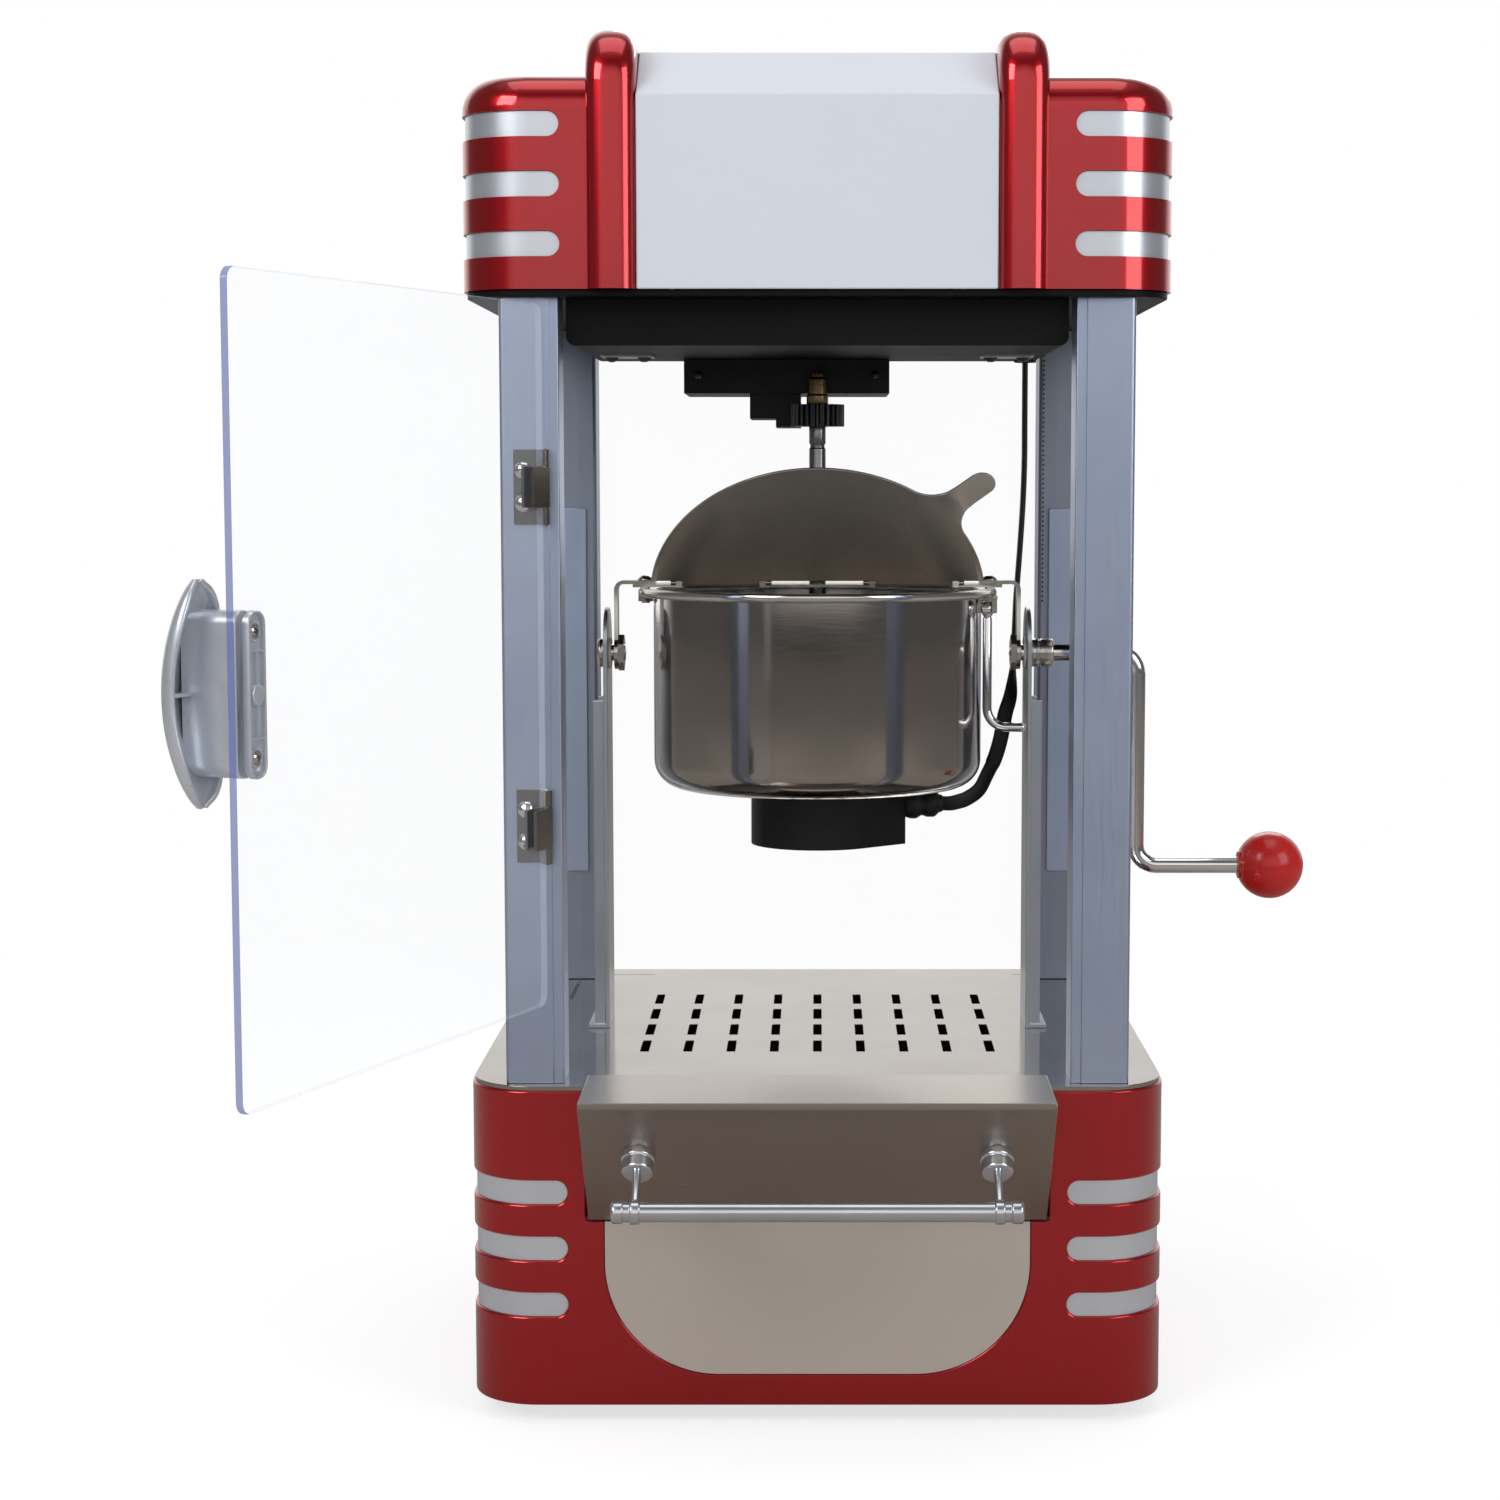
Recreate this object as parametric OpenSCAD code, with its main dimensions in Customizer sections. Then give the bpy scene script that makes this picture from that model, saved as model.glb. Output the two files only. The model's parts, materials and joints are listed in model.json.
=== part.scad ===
// Tabletop kettle popcorn maker: slotted head and base, four pillars, a tilting kettle with a geared
// stirrer, a clip-hinged clear door and a kernel drawer. The origin is the centre of the four feet, at the
// table. The door is at -Y and the crank at +X.

/* [Cabinet] */
// Width across the outside of the pillars
cab_w = 272; // [264:1:290]
// Depth across the outside of the pillars
cab_d = 286; // [280:1:310]
// Clear height from the deck to the underside of the head
bay_h = 340; // [336:1:370]
// Width of a pillar, seen from the front
pillar_w = 25.5; // [22:0.5:27]
// Depth of a pillar
pillar_d = 25; // [20:0.5:28]
// Wall of a pillar tube
pillar_wall = 1.6; // [1.2:0.1:2.5]
// How much narrower the rear pillars are than the front ones
rear_pillar_less = 4.5; // [2:0.5:6]
// Thickness of the side and rear panes
pane_t = 2.5; // [2:0.5:4]

/* [Base] */
// Height of the top of the deck above the table
deck_z = 150; // [146:1:165]
// Thickness of the deck plate
deck_t = 2; // [1.5:0.5:3]
// Height of a foot
foot_h = 8; // [6:1:12]
// Radius of a foot
foot_r = 11; // [9:0.5:14]
// Distance of a foot's centre from the edges of the base
foot_inset = 36; // [32:1:45]
// Half the width of the cream panel
panel_half = 93; // [85:1:98]
// Radius of the cream panel's lower corners
panel_r = 50; // [30:1:60]
// Height of the cream panel's lower edge above the bottom of the base
panel_up = 14; // [10:1:20]

/* [Drawer] */
// Half the width of the drawer
drawer_half = 100; // [97:1:103]
// How far the drawer's nose stands out past the front pillars
nose_out = 60; // [50:1:70]
// Height of the nose above the deck
nose_up = 4.5; // [4:0.5:8]
// Depth of the drawer's floor below the deck
drawer_drop = 57; // [50:1:60]
// Thickness of the drawer's sheet
drawer_t = 1.5; // [1:0.1:2]
// Radius of the drawer's bar
bar_r = 4.3; // [3.5:0.1:5.5]
// Half the length of the bar
bar_half = 85; // [80:1:92]
// Distance of a post from the middle
post_x = 76; // [60:1:78]
// How far the bar stands off the apron
bar_off = 29; // [24:1:34]

/* [Head] */
// Width of the head, which the base shares
head_w = 306; // [298:1:320]
// Depth of the head
head_d = 300; // [298:1:330]
// Height of the red ends
head_h = 90; // [88:1:102]
// Radius of the head's upright corners
head_r = 30; // [22:1:36]
// Radius of the roll along the head's top edge
head_roll = 14; // [8:1:18]
// Wall of the red shells
shell_t = 3; // [2.8:0.2:4]
// Height of a slot
slot_h = 10.8; // [8:0.2:13]
// Distance from one slot to the next
slot_pitch = 25; // [22:0.5:26]
// Height of the lowest slot's centre above the bottom of the head
slot_first = 19; // [16:0.5:22]
// Distance of a slot's inner end from the middle
slot_in = 109; // [106:1:114]
// Depth of a slot down to its silver strip
slot_depth = 1.3; // [0.8:0.1:1.5]
// Thickness of the silver strip
strip_t = 0.9; // [0.6:0.1:1.2]
// Half the width of the white cover
cover_half = 76.5; // [72:0.5:80]
// Height of the white cover
cover_h = 102; // [101:1:109]
// Drop of the crease in the front of the white cover
crease_drop = 21; // [15:1:26]
// Run of the sloping part of the white cover
crease_run = 26; // [18:1:34]
// Wall of the white cover
cover_t = 2; // [1.5:0.1:3]
// Width of a fin
fin_w = 21.5; // [18:0.5:24]
// How far a fin stands out in front of the head
fin_out = 5; // [4:0.5:8]
// How far a fin stands above the white cover
fin_up = 8; // [5:0.5:12]
// Radius of a fin's bend over the top
fin_bend = 24; // [16:1:30]
// Wall of a fin
fin_t = 1.8; // [1.2:0.1:2.5]

/* [Ceiling and drive] */
// Half the width of the black ceiling pan
pan_half = 108; // [104:1:110]
// Depth of the ceiling pan below the head
pan_drop = 20; // [18:1:22]
// Distance from the front of the ceiling pan to the kettle's axis
pan_front = 133; // [120:1:136]
// Distance from the back of the ceiling pan to the kettle's axis
pan_back = 25; // [22:1:40]
// Depth of the drive case below the ceiling pan
case_drop = 16; // [14:0.5:17]
// Teeth of the agitator gear
gear_teeth = 24; // [24:2:28]
// Teeth of the motor pinion
pinion_teeth = 12; // [12:2:16]
// Tooth module
gear_m = 1; // [0.9:0.05:1.1]
// Face width of the agitator gear
gear_h = 10.4; // [8:0.2:11]
// Radius of the agitator shaft
shaft_r = 4; // [3.2:0.1:4.4]
// Radius of the bronze sleeve
sleeve_r = 5.2; // [5:0.1:5.6]

/* [Kettle] */
// Outside radius of the pot
pot_r = 78.6; // [74:0.2:80]
// Wall of the pot
pot_t = 1.2; // [1:0.1:2]
// Radius of the pot's bottom corner
pot_corner = 13; // [8:1:18]
// Outside radius of the rim
rim_r = 86; // [84:0.5:87]
// Thickness of the rim
rim_t = 3.6; // [3:0.2:5]
// Height of the tilt axis above the deck
pivot_up = 180; // [172:1:184]
// Height of the rim's top above the tilt axis
rim_up = 31.5; // [29:0.5:34]
// Depth of the pot's bottom below the tilt axis
pot_down = 64; // [60:1:66]
// Radius of the heater housing
heater_r = 32; // [30:0.5:38]
// Reach of the heater housing's nose, where its cord goes in
heater_nose = 42.4; // [40:0.2:48]
// Width of the nose's end
nose_w = 11; // [10:0.5:14]
// Height of the heater housing
heater_h = 28; // [24:1:32]
// Radius of the pivot pin and of the crank rod
pivot_r = 4; // [3.5:0.1:4.4]
// Distance from the middle to the kettle supports
support_x = 100; // [99.6:0.2:102]
// Thickness of a kettle support
support_t = 2; // [1.5:0.1:2.5]
// Width of a kettle support
support_w = 34; // [30:1:40]
// Thickness of the yoke straps
strap_t = 1.8; // [1.4:0.1:2]
// Width of a yoke strap
strap_w = 10; // [9:0.5:12]

/* [Crank] */
// Distance from the middle to the crank's arm
arm_x = 154; // [152:1:165]
// Length of the crank's arm
arm_len = 103; // [90:1:110]
// Radius of the crank's bends
arm_bend = 10; // [8:1:14]
// Distance from the middle to the centre of the knob
knob_x = 219; // [205:1:230]
// Radius of the knob
knob_r = 16.2; // [12:0.2:20]

/* [Lids] */
// Radius of a lid half
lid_r = 80; // [78.5:0.5:82]
// Thickness of a lid half
lid_t = 1.2; // [1:0.1:1.6]
// Angle at which the front lid stands open at rest
lid_open = 50; // [30:1:60]
// Angle of the finger tab, from the hinge line
tab_angle = 43; // [35:1:50]
// Reach of the finger tab's end from the kettle's axis
tab_reach = 110; // [100:1:114]
// Width of the finger tab
tab_w = 13; // [10:0.5:15]

/* [Door] */
// Width of the clear panel
door_w = 238; // [225:1:242]
// Height of the clear panel
door_h = 300; // [290:1:306]
// Thickness of the clear panel
door_t = 3; // [2.5:0.1:3.4]
// Radius of the clear panel's corners
door_r = 5; // [2:0.5:12]
// Gap from the clear panel's top to the head
door_gap = 3.5; // [2:0.5:10]
// Angle at which the door stands open at rest
door_open = 112; // [90:1:125]
// Height of a hinge
hinge_h = 32; // [26:1:40]
// Distance between the hinges' centres
hinge_span = 146; // [120:1:200]
// Length of the bow grip
grip_len = 80; // [70:1:95]
// Width of the bow grip
grip_w = 30; // [24:1:34]
// How far the bow grip stands out
grip_out = 27; // [24:0.5:32]

/* [Hidden] */
$fn = 64;
e = 1;                                   // how far a cut runs past the face that it opens
fit = 0.3;                               // gap between pieces that move past each other
run = 0.05;                              // radial clearance of a shaft in its bore
seam = 0.5;                              // gap between neighbouring covers

// Heights
base_z = foot_h;
deck_under = deck_z - deck_t;
head_z = deck_z + bay_h;                 // underside of the head
chassis_t = 3;
ends_z = head_z + chassis_t;
pan_z = head_z - pan_drop;
case_z = pan_z - case_drop;
pivot_z = deck_z + pivot_up;
rim_z = pivot_z + rim_up;
pot_z = pivot_z - pot_down;
rim_under = rim_z - rim_t;

// Pillars, panes and supports
pillar_x = cab_w / 2;
pillar_y = cab_d / 2;
pillar_in = pillar_x - pillar_w;
rear_w = pillar_w - rear_pillar_less;
pane_x = pillar_x - 12;
strip_d = 2;                             // thickness of the strips that hold the panes
edge_r = 2;                              // rounding of a pillar's edges
support_foot = 10;
support_over = 22;                       // how far a support reaches above the tilt axis
bush_t = 2;
bush_flange = 1;

// Gears
gear_c = gear_m * (gear_teeth + pinion_teeth) / 2;
gear_top = case_z - 5.5;
gear_z = gear_top - gear_h;
pressure_angle = 25;
tooth_play = 0.2;
pinion_h = gear_h - 1;
pinion_shaft_r = 2.5;
sleeve_top = pan_z - 6;

// Door
hinge_x = -pillar_x + 19.3;
hinge_y = -pillar_y - 5;
door_top = head_z - door_gap;
door_mid = door_top - door_h / 2;
clip_t = 1.4;
clip_len = 15;
panel_start = 3.4;                       // from the hinge's axis to the panel's edge
knuckle_r = 2.4;
hinge_pin_r = 1.2;
leaf_t = 1.2;
grip_s = door_w - 7;                     // the grip's middle, from the hinge's axis
plate_s = door_w - 11;
plate_w = 11;
plate_len = 60;

// Head and base
slots = [0, 1, 2];
strip_out = slot_depth + strip_t;
cover_top = ends_z + cover_h;
cover_y = head_d / 2 + 1;
fin_x = cover_half + seam + fin_w / 2;
fin_y = head_d / 2 + fin_out;
fin_top = cover_top + fin_up;
base_h = deck_under - base_z;
base_slot_first = (base_h - 2 * slot_pitch) / 2;

// Drawer
nose_y = -pillar_y - nose_out;
nose_z = deck_z + nose_up;
apron_y = -head_d / 2 - 1.5;
drawer_z = deck_z - drawer_drop - drawer_t;
apron_top = nose_z - 2.6;
apron_run = apron_y - nose_y;
apron_fall = apron_top - drawer_z;
apron_angle = atan2(apron_fall, apron_run);
post_share = 0.4;                        // where the posts stand, down the apron
drawer_back = 108;
drawer_rise = 51;

// Kettle
heater_z = pot_z - heater_h;
ear_x = rim_r - 3.6;
strap_x = support_x - 2.6 - strap_t;
bar_z = rim_z;
bar_t = 1.5;
lid_y = 8;
lid_z = rim_z + 2.3;
rod_r = 1.2;
lid_knuckle_r = 2.1;
lug_spots = [26, 66];
lug_t = 3;
rocker_x = 34;
rocker_z = ends_z + 48;
rocker_rest = 8;

// ---- shared shapes ----

// Rectangle with round corners, centred
module rounded_rect(w, d, r) {
    square([w - 2 * r, d], center = true);
    square([w, d - 2 * r], center = true);
    for (x = [-1, 1], y = [-1, 1]) translate([x * (w / 2 - r), y * (d / 2 - r)]) circle(r);
}

module rounded_slab(w, d, h, r) {
    linear_extrude(h) rounded_rect(w, d, r);
}

// Slab whose top edge is rolled over
module crowned_slab(w, d, h, r, roll) {
    rounded_slab(w, d, h - roll, r);
    translate([0, 0, h - roll]) {
        linear_extrude(roll) rounded_rect(w - 2 * roll, d - 2 * roll, r - roll);
        for (s = [-1, 1]) {
            translate([0, s * (d / 2 - roll), 0]) rotate([0, 90, 0])
                cylinder(r = roll, h = w - 2 * r, center = true);
            translate([s * (w / 2 - roll), 0, 0]) rotate([90, 90, 0])
                cylinder(r = roll, h = d - 2 * r, center = true);
        }
        for (x = [-1, 1], y = [-1, 1]) translate([x * (w / 2 - r), y * (d / 2 - r), 0])
            rotate([0, 0, atan2(-y, -x)]) rotate_extrude() {
                translate([r - roll, 0]) circle(roll);
                translate([0, -roll]) square([r - roll, 2 * roll]);
            }
    }
}

// The run of one slot, through both ends of the head or base
module slot_run(z) {
    for (s = [-1, 1]) {
        translate([s * (slot_in + slot_h / 2), 0, z]) rotate([90, 0, 0])
            cylinder(r = slot_h / 2, h = head_d + 2 * e, center = true);
        translate([s * (slot_in + slot_h / 2 + head_w / 2), 0, z])
            cube([head_w, head_d + 2 * e, slot_h], center = true);
    }
}

// Everything outside a skin that lies the given depth under the head's upright faces
module outside_of(depth, z0, h) {
    difference() {
        translate([-head_w, -head_d, z0 - e]) cube([2 * head_w, 2 * head_d, h + 2 * e]);
        translate([0, 0, z0 - 2 * e])
            rounded_slab(head_w - 2 * depth, head_d - 2 * depth, h + 4 * e, head_r - depth);
    }
}

module slot_grooves(z0, first, h) {
    intersection() {
        for (i = slots) slot_run(z0 + first + i * slot_pitch);
        outside_of(strip_out, z0, h);
    }
}

module slot_strips(z0, first, h) {
    intersection() {
        for (i = slots) slot_run(z0 + first + i * slot_pitch);
        outside_of(strip_out, z0, h);
        translate([0, 0, z0])
            rounded_slab(head_w - 2 * slot_depth, head_d - 2 * slot_depth, h, head_r - slot_depth);
    }
}

// Machine screw with a domed head, standing on z = 0 and pointing down
module pan_screw(head_radius, shank_radius, shank_len) {
    difference() {
        intersection() {
            cylinder(r = head_radius, h = head_radius * 0.7);
            translate([0, 0, -head_radius * 0.55]) sphere(head_radius * 1.22);
        }
        for (a = [0, 90]) rotate([0, 0, a])
            translate([-head_radius * 0.55, -0.3, head_radius * 0.4])
                cube([head_radius * 1.1, 0.6, head_radius]);
    }
    translate([0, 0, -shank_len]) cylinder(r = shank_radius, h = shank_len);
}

module hex_nut(across, h, bore) {
    difference() {
        cylinder(r = across / sqrt(3), h = h, $fn = 6);
        translate([0, 0, -e]) cylinder(r = bore, h = h + 2 * e, $fn = 64);
    }
}

// Outline in the Y-Z plane, extruded along X about the middle
module side_profile(w) {
    rotate([90, 0, 90]) linear_extrude(w, center = true) children();
}

// Tube swept along a list of points; the route never runs along Y
function unit(v) = v / norm(v);
function heading(p, i) = unit(p[min(i + 1, len(p) - 1)] - p[max(i - 1, 0)]);
function ring(p, i, r, n) =
    let (t = heading(p, i), u = unit(cross(t, [0, 1, 0])), v = cross(t, u))
    [for (k = [0:n - 1]) p[i] + r * (cos(360 * k / n) * u + sin(360 * k / n) * v)];
module swept_tube(p, r, n) {
    last = len(p) - 1;
    polyhedron(
        points = [for (i = [0:last]) each ring(p, i, r, n)],
        faces = concat(
            [[for (k = [0:n - 1]) n - 1 - k]],
            [for (i = [0:last - 1], k = [0:n - 1])
                [i * n + k, i * n + (k + 1) % n, (i + 1) * n + (k + 1) % n, (i + 1) * n + k]],
            [[for (k = [0:n - 1]) last * n + k]]));
}

// Involute spur gear
function involute(rb, a) = [rb * (cos(a) + a * PI / 180 * sin(a)), rb * (sin(a) - a * PI / 180 * cos(a))];
function turned(p, a) = [p[0] * cos(a) - p[1] * sin(a), p[0] * sin(a) + p[1] * cos(a)];
function roll_to(rb, r) = r <= rb ? 0 : sqrt(r * r / (rb * rb) - 1) * 180 / PI;
module spur(teeth, h) {
    r = gear_m * teeth / 2;
    rb = r * cos(pressure_angle);
    tip = r + 0.9 * gear_m;
    root = r - 1.2 * gear_m;
    at_pitch = roll_to(rb, r);
    pitch_turn = at_pitch - atan(at_pitch * PI / 180);
    half_tooth = 90 / teeth - tooth_play / (2 * r) * 180 / PI / 2 + pitch_turn;
    steps = [0:5];
    function flank(k) = involute(rb, roll_to(rb, max(rb, root) + (tip - max(rb, root)) * k / 5));
    linear_extrude(h) union() {
        circle(root + 0.01);
        for (i = [0:teeth - 1]) rotate(i * 360 / teeth) polygon(concat(
            [turned([root - 0.6, 0], -half_tooth)],
            [for (k = steps) turned(flank(k), -half_tooth)],
            [for (k = steps) let (p = flank(5 - k)) turned([p[0], -p[1]], half_tooth)],
            [turned([root - 0.6, 0], half_tooth)]));
    }
}

// ---- base ----

module foot_spots() {
    for (x = [-1, 1], y = [-1, 1])
        translate([x * (head_w / 2 - foot_inset), y * (head_d / 2 - foot_inset), 0]) children();
}

module rubber_feet() {
    color("#222222") foot_spots() cylinder(r = foot_r, h = foot_h);
}

module base_pan() {
    w = head_w - 2 * (shell_t + fit);
    d = head_d - 2 * (shell_t + fit);
    r = head_r - shell_t - fit;
    color("#3a3a3c") difference() {
        translate([0, 0, base_z]) rounded_slab(w, d, 10, r);
        translate([0, 0, base_z + 2]) rounded_slab(w - 3, d - 3, 10, r - 1.5);
    }
}

module base_window(grow) {
    top = drawer_z - 0.8 + grow;
    low = base_z + panel_up - grow;
    half = panel_half + grow;
    r = panel_r + grow;
    translate([0, -head_d / 2, 0]) rotate([90, 0, 0]) linear_extrude(4 * shell_t, center = true)
        intersection() {
            translate([-half, low]) square([2 * half, top - low]);
            union() {
                translate([-half + r, low]) square([2 * (half - r), 2 * r]);
                translate([-half, low + r]) square([2 * half, head_z]);
                for (s = [-1, 1]) translate([s * (half - r), low + r]) circle(r);
            }
        }
}

module base_shell() {
    open_half = drawer_half + 1;
    color("#a3121f") difference() {
        translate([0, 0, base_z]) rounded_slab(head_w, head_d, base_h, head_r);
        translate([0, 0, base_z - e])
            rounded_slab(head_w - 2 * shell_t, head_d - 2 * shell_t, base_h + 2 * e, head_r - shell_t);
        translate([-open_half, -head_d / 2 - e, drawer_z - 1])
            cube([2 * open_half, shell_t + 3 * e, base_h]);
        base_window(0);
        slot_grooves(base_z, base_slot_first, base_h);
    }
}

module base_slot_strips() {
    color("#c8ccd2") slot_strips(base_z, base_slot_first, base_h);
}

module base_front_panel() {
    y = -head_d / 2;
    color("#efe9dc") {
        intersection() {
            base_window(-0.2);
            translate([-head_w, y - 0.4, 0]) cube([2 * head_w, shell_t + 0.4, head_z]);
        }
        intersection() {
            base_window(4);
            translate([-head_w, y + shell_t, 0]) cube([2 * head_w, 1.5, drawer_z - 1]);
        }
    }
}

module deck_plate() {
    slit_w = 4;
    slit_l = 26;
    color("#b9bcc0") difference() {
        translate([0, 0, deck_under]) rounded_slab(head_w - 2, head_d - 2, deck_t, head_r - 1);
        for (x = [-4:4], y = [-2:1]) translate([x * 20 - slit_w / 2, y * 40 + 7, deck_under - e])
            cube([slit_w, slit_l, deck_t + 2 * e]);
    }
}

module drawer_runners() {
    web = drawer_half + 1.5;
    foot_in = drawer_half - 6;
    y0 = -head_d / 2 + shell_t + 2;
    l = drawer_back - y0 + 2;
    color("#8d9096") for (s = [-1, 1]) mirror([s > 0 ? 0 : 1, 0, 0]) {
        translate([foot_in, y0, drawer_z - fit - 2]) cube([web - foot_in + 1.5, l, 2]);
        translate([web, y0, drawer_z - fit - 2]) cube([1.5, l, deck_under - drawer_z + fit + 2]);
    }
}

// ---- cabinet ----

module pillar(w, d, h) {
    difference() {
        rounded_slab(w, d, h, edge_r);
        translate([0, 0, -e])
            rounded_slab(w - 2 * pillar_wall, d - 2 * pillar_wall, h + 2 * e, edge_r - 1);
    }
}

module front_pillars() {
    lip_w = 4.6;
    color("#9aa5b8") for (s = [-1, 1]) difference() {
        translate([s * (pillar_x - pillar_w / 2), -pillar_y + pillar_d / 2, deck_z])
            pillar(pillar_w, pillar_d, bay_h);
        // shallow lip along the inner front edge
        translate([s > 0 ? pillar_in - e : -pillar_in - lip_w, -pillar_y - e, deck_z - e])
            cube([lip_w + e, e + 0.8, bay_h + 2 * e]);
    }
}

module rear_pillars() {
    color("#8b95a6") for (s = [-1, 1])
        translate([s * (pillar_x - rear_w / 2), pillar_y - pillar_d / 2, deck_z])
            pillar(rear_w, pillar_d, bay_h);
}

module side_panes() {
    y = pillar_y - pillar_d;
    l = 2 * y - strip_d;
    color("#dfe8ee", 0.3) {
        translate([-pane_x - pane_t, -y, deck_z]) cube([pane_t, l, bay_h]);
        difference() {
            translate([pane_x, -y, deck_z]) cube([pane_t, l, bay_h]);
            translate([pane_x - e, 0, pivot_z]) rotate([0, 90, 0])
                cylinder(r = pivot_r + 3, h = pane_t + 2 * e);
        }
    }
}

module rear_pane() {
    half = pillar_x - rear_w;
    color("#dfe8ee", 0.3)
        translate([-half, pillar_y - pillar_d / 2, deck_z]) cube([2 * half, pane_t, bay_h]);
}

module pane_retainers() {
    strip_w = 12.5;
    x = pane_x - 3.5;
    color("#7d8797") for (s = [-1, 1])
        translate([s > 0 ? x : -x - strip_w, pillar_y - pillar_d - strip_d, deck_z + 58])
            cube([strip_w, strip_d, 190]);
}

module kettle_supports() {
    foot_t = support_t;
    color("#8b95a6") for (s = [-1, 1]) mirror([s > 0 ? 0 : 1, 0, 0]) {
        difference() {
            union() {
                translate([support_x, -support_w / 2, deck_z])
                    cube([support_t, support_w, pivot_up + support_over - support_w / 2]);
                translate([support_x, 0, deck_z + pivot_up + support_over - support_w / 2])
                    rotate([0, 90, 0]) cylinder(r = support_w / 2, h = support_t);
            }
            translate([support_x - e, 0, pivot_z]) rotate([0, 90, 0])
                cylinder(r = pivot_r + bush_t, h = support_t + 2 * e);
        }
        translate([support_x, -support_w / 2, deck_z]) cube([support_foot, support_w, foot_t]);
        // stiffening ribs along the outer side
        for (y = [-1, 1]) translate([support_x + support_t, y * (support_w / 2 - 2) - 0.75, deck_z])
            cube([5, 1.5, pivot_up - 22]);
    }
}

module pivot_bushes() {
    color("#d9d5c8") for (s = [-1, 1]) mirror([s > 0 ? 0 : 1, 0, 0])
        translate([support_x, 0, pivot_z]) rotate([0, 90, 0]) difference() {
            union() {
                translate([0, 0, -bush_flange]) cylinder(r = pivot_r + bush_t + 1.5, h = bush_flange);
                cylinder(r = pivot_r + bush_t, h = support_t + 0.4);
            }
            translate([0, 0, -bush_flange - e])
                cylinder(r = pivot_r + run, h = support_t + bush_flange + 2 * e + 1);
        }
}

// ---- head ----

module motor_hole(grow) {
    translate([-14, pan_back + 33, 0]) cylinder(r = 30 + grow, h = 200, center = true);
}

module head_chassis() {
    color("#2b2b2d") difference() {
        translate([0, 0, head_z]) rounded_slab(head_w - 3, head_d - 3, chassis_t, head_r - 1.5);
        translate([0, 0, head_z]) motor_hole(1);
    }
}

module head_end_outer(grow) {
    crowned_slab(head_w + 2 * grow, head_d + 2 * grow, head_h + grow, head_r + grow, head_roll + grow);
}

module head_ends() {
    gap = cover_half + seam;
    color("#b3131f") difference() {
        translate([0, 0, ends_z]) head_end_outer(0);
        translate([0, 0, ends_z - e]) crowned_slab(head_w - 2 * shell_t, head_d - 2 * shell_t,
            head_h - shell_t + e, head_r - shell_t, head_roll - shell_t);
        translate([-gap, -head_d, ends_z - 2 * e]) cube([2 * gap, 2 * head_d, head_h + 4 * e]);
        slot_grooves(ends_z, slot_first, slot_first + 2 * slot_pitch + slot_h);
    }
}

module head_slot_strips() {
    color("#c8ccd2") slot_strips(ends_z, slot_first, slot_first + 2 * slot_pitch + slot_h);
}

// Arch of a fin, seen from the side
module fin_arch(y, top, bend) {
    translate([-y, ends_z]) square([2 * y, top - ends_z - bend]);
    translate([-y + bend, ends_z]) square([2 * (y - bend), top - ends_z]);
    for (s = [-1, 1]) translate([s * (y - bend), top - bend]) circle(bend);
}

module head_fins() {
    color("#b3131f") for (s = [-1, 1]) difference() {
        translate([s * fin_x, 0, 0]) side_profile(fin_w) fin_arch(fin_y, fin_top, fin_bend);
        translate([s * fin_x, 0, 0]) side_profile(fin_w - 2 * fin_t)
            fin_arch(fin_y - fin_t, fin_top - fin_t, fin_bend - fin_t);
        translate([0, 0, ends_z - 0.2]) head_end_outer(0.2);
        translate([-head_w, -head_d / 2 - 0.2, ends_z - 2 * e])
            cube([2 * head_w, head_d + 0.4, 3 * e]);
    }
}

// White cover, seen from the side; grow moves its skin outwards
module cover_outline(grow) {
    y = cover_y + grow;
    low = ends_z;
    crease = cover_top - crease_drop;
    top = cover_top + grow;
    polygon([[-y, low], [-y, crease], [-y + crease_run, top], [y - crease_run, top], [y, crease], [y, low]]);
}

module head_cover() {
    rear_open = cover_top - crease_drop - ends_z - 2;
    color("#e9edf3") difference() {
        side_profile(2 * cover_half) cover_outline(0);
        translate([0, 0, -0.01]) side_profile(2 * cover_half + 2 * e) difference() {
            cover_outline(-cover_t);
        }
        translate([-cover_half - e, 0, ends_z - e]) cube([2 * cover_half + 2 * e, head_d, rear_open + e]);
    }
}

module rear_panel_cuts() {
    for (s = [-1, 1]) translate([s * rocker_x, head_d / 2, rocker_z]) cube([14, 20, 20], center = true);
    translate([0, head_d / 2, ends_z + 16]) rotate([90, 0, 0]) cylinder(r = 7, h = 20, center = true);
    for (i = [-4:4]) translate([i * 7, head_d / 2, ends_z + 70]) cube([3, 20, 12], center = true);
}

module head_rear_panel() {
    h = cover_top - crease_drop - ends_z - 2.3;
    color("#2b2b2d") difference() {
        translate([-cover_half + 0.2, head_d / 2 - 1, ends_z]) cube([2 * cover_half - 0.4, 2, h]);
        rear_panel_cuts();
    }
}

module switch_bezels() {
    color("#161616") for (s = [-1, 1]) translate([s * rocker_x, head_d / 2, rocker_z]) difference() {
        union() {
            translate([-8.5, 1, -11.5]) cube([17, 1.6, 23]);
            translate([-6.9, -14, -9.9]) cube([13.8, 15, 19.8]);
        }
        translate([-5.6, -8, -8.6]) cube([11.2, 11, 17.2]);
        rotate([0, 90, 0]) cylinder(r = 1.2 + run, h = 13.4, center = true);
    }
}

// A rocker leans on one side; sign picks the side
module rocker(x) {
    color("#b3131f") translate([x, head_d / 2, rocker_z]) rotate([rocker_rest, 0, 0]) {
        intersection() {
            translate([-5.2, -4, -7.8]) cube([10.4, 9, 15.6]);
            rotate([0, 90, 0]) cylinder(r = 7.9, h = 20, center = true);
        }
        rotate([0, 90, 0]) cylinder(r = 1.2, h = 12.8, center = true);
    }
}

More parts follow.
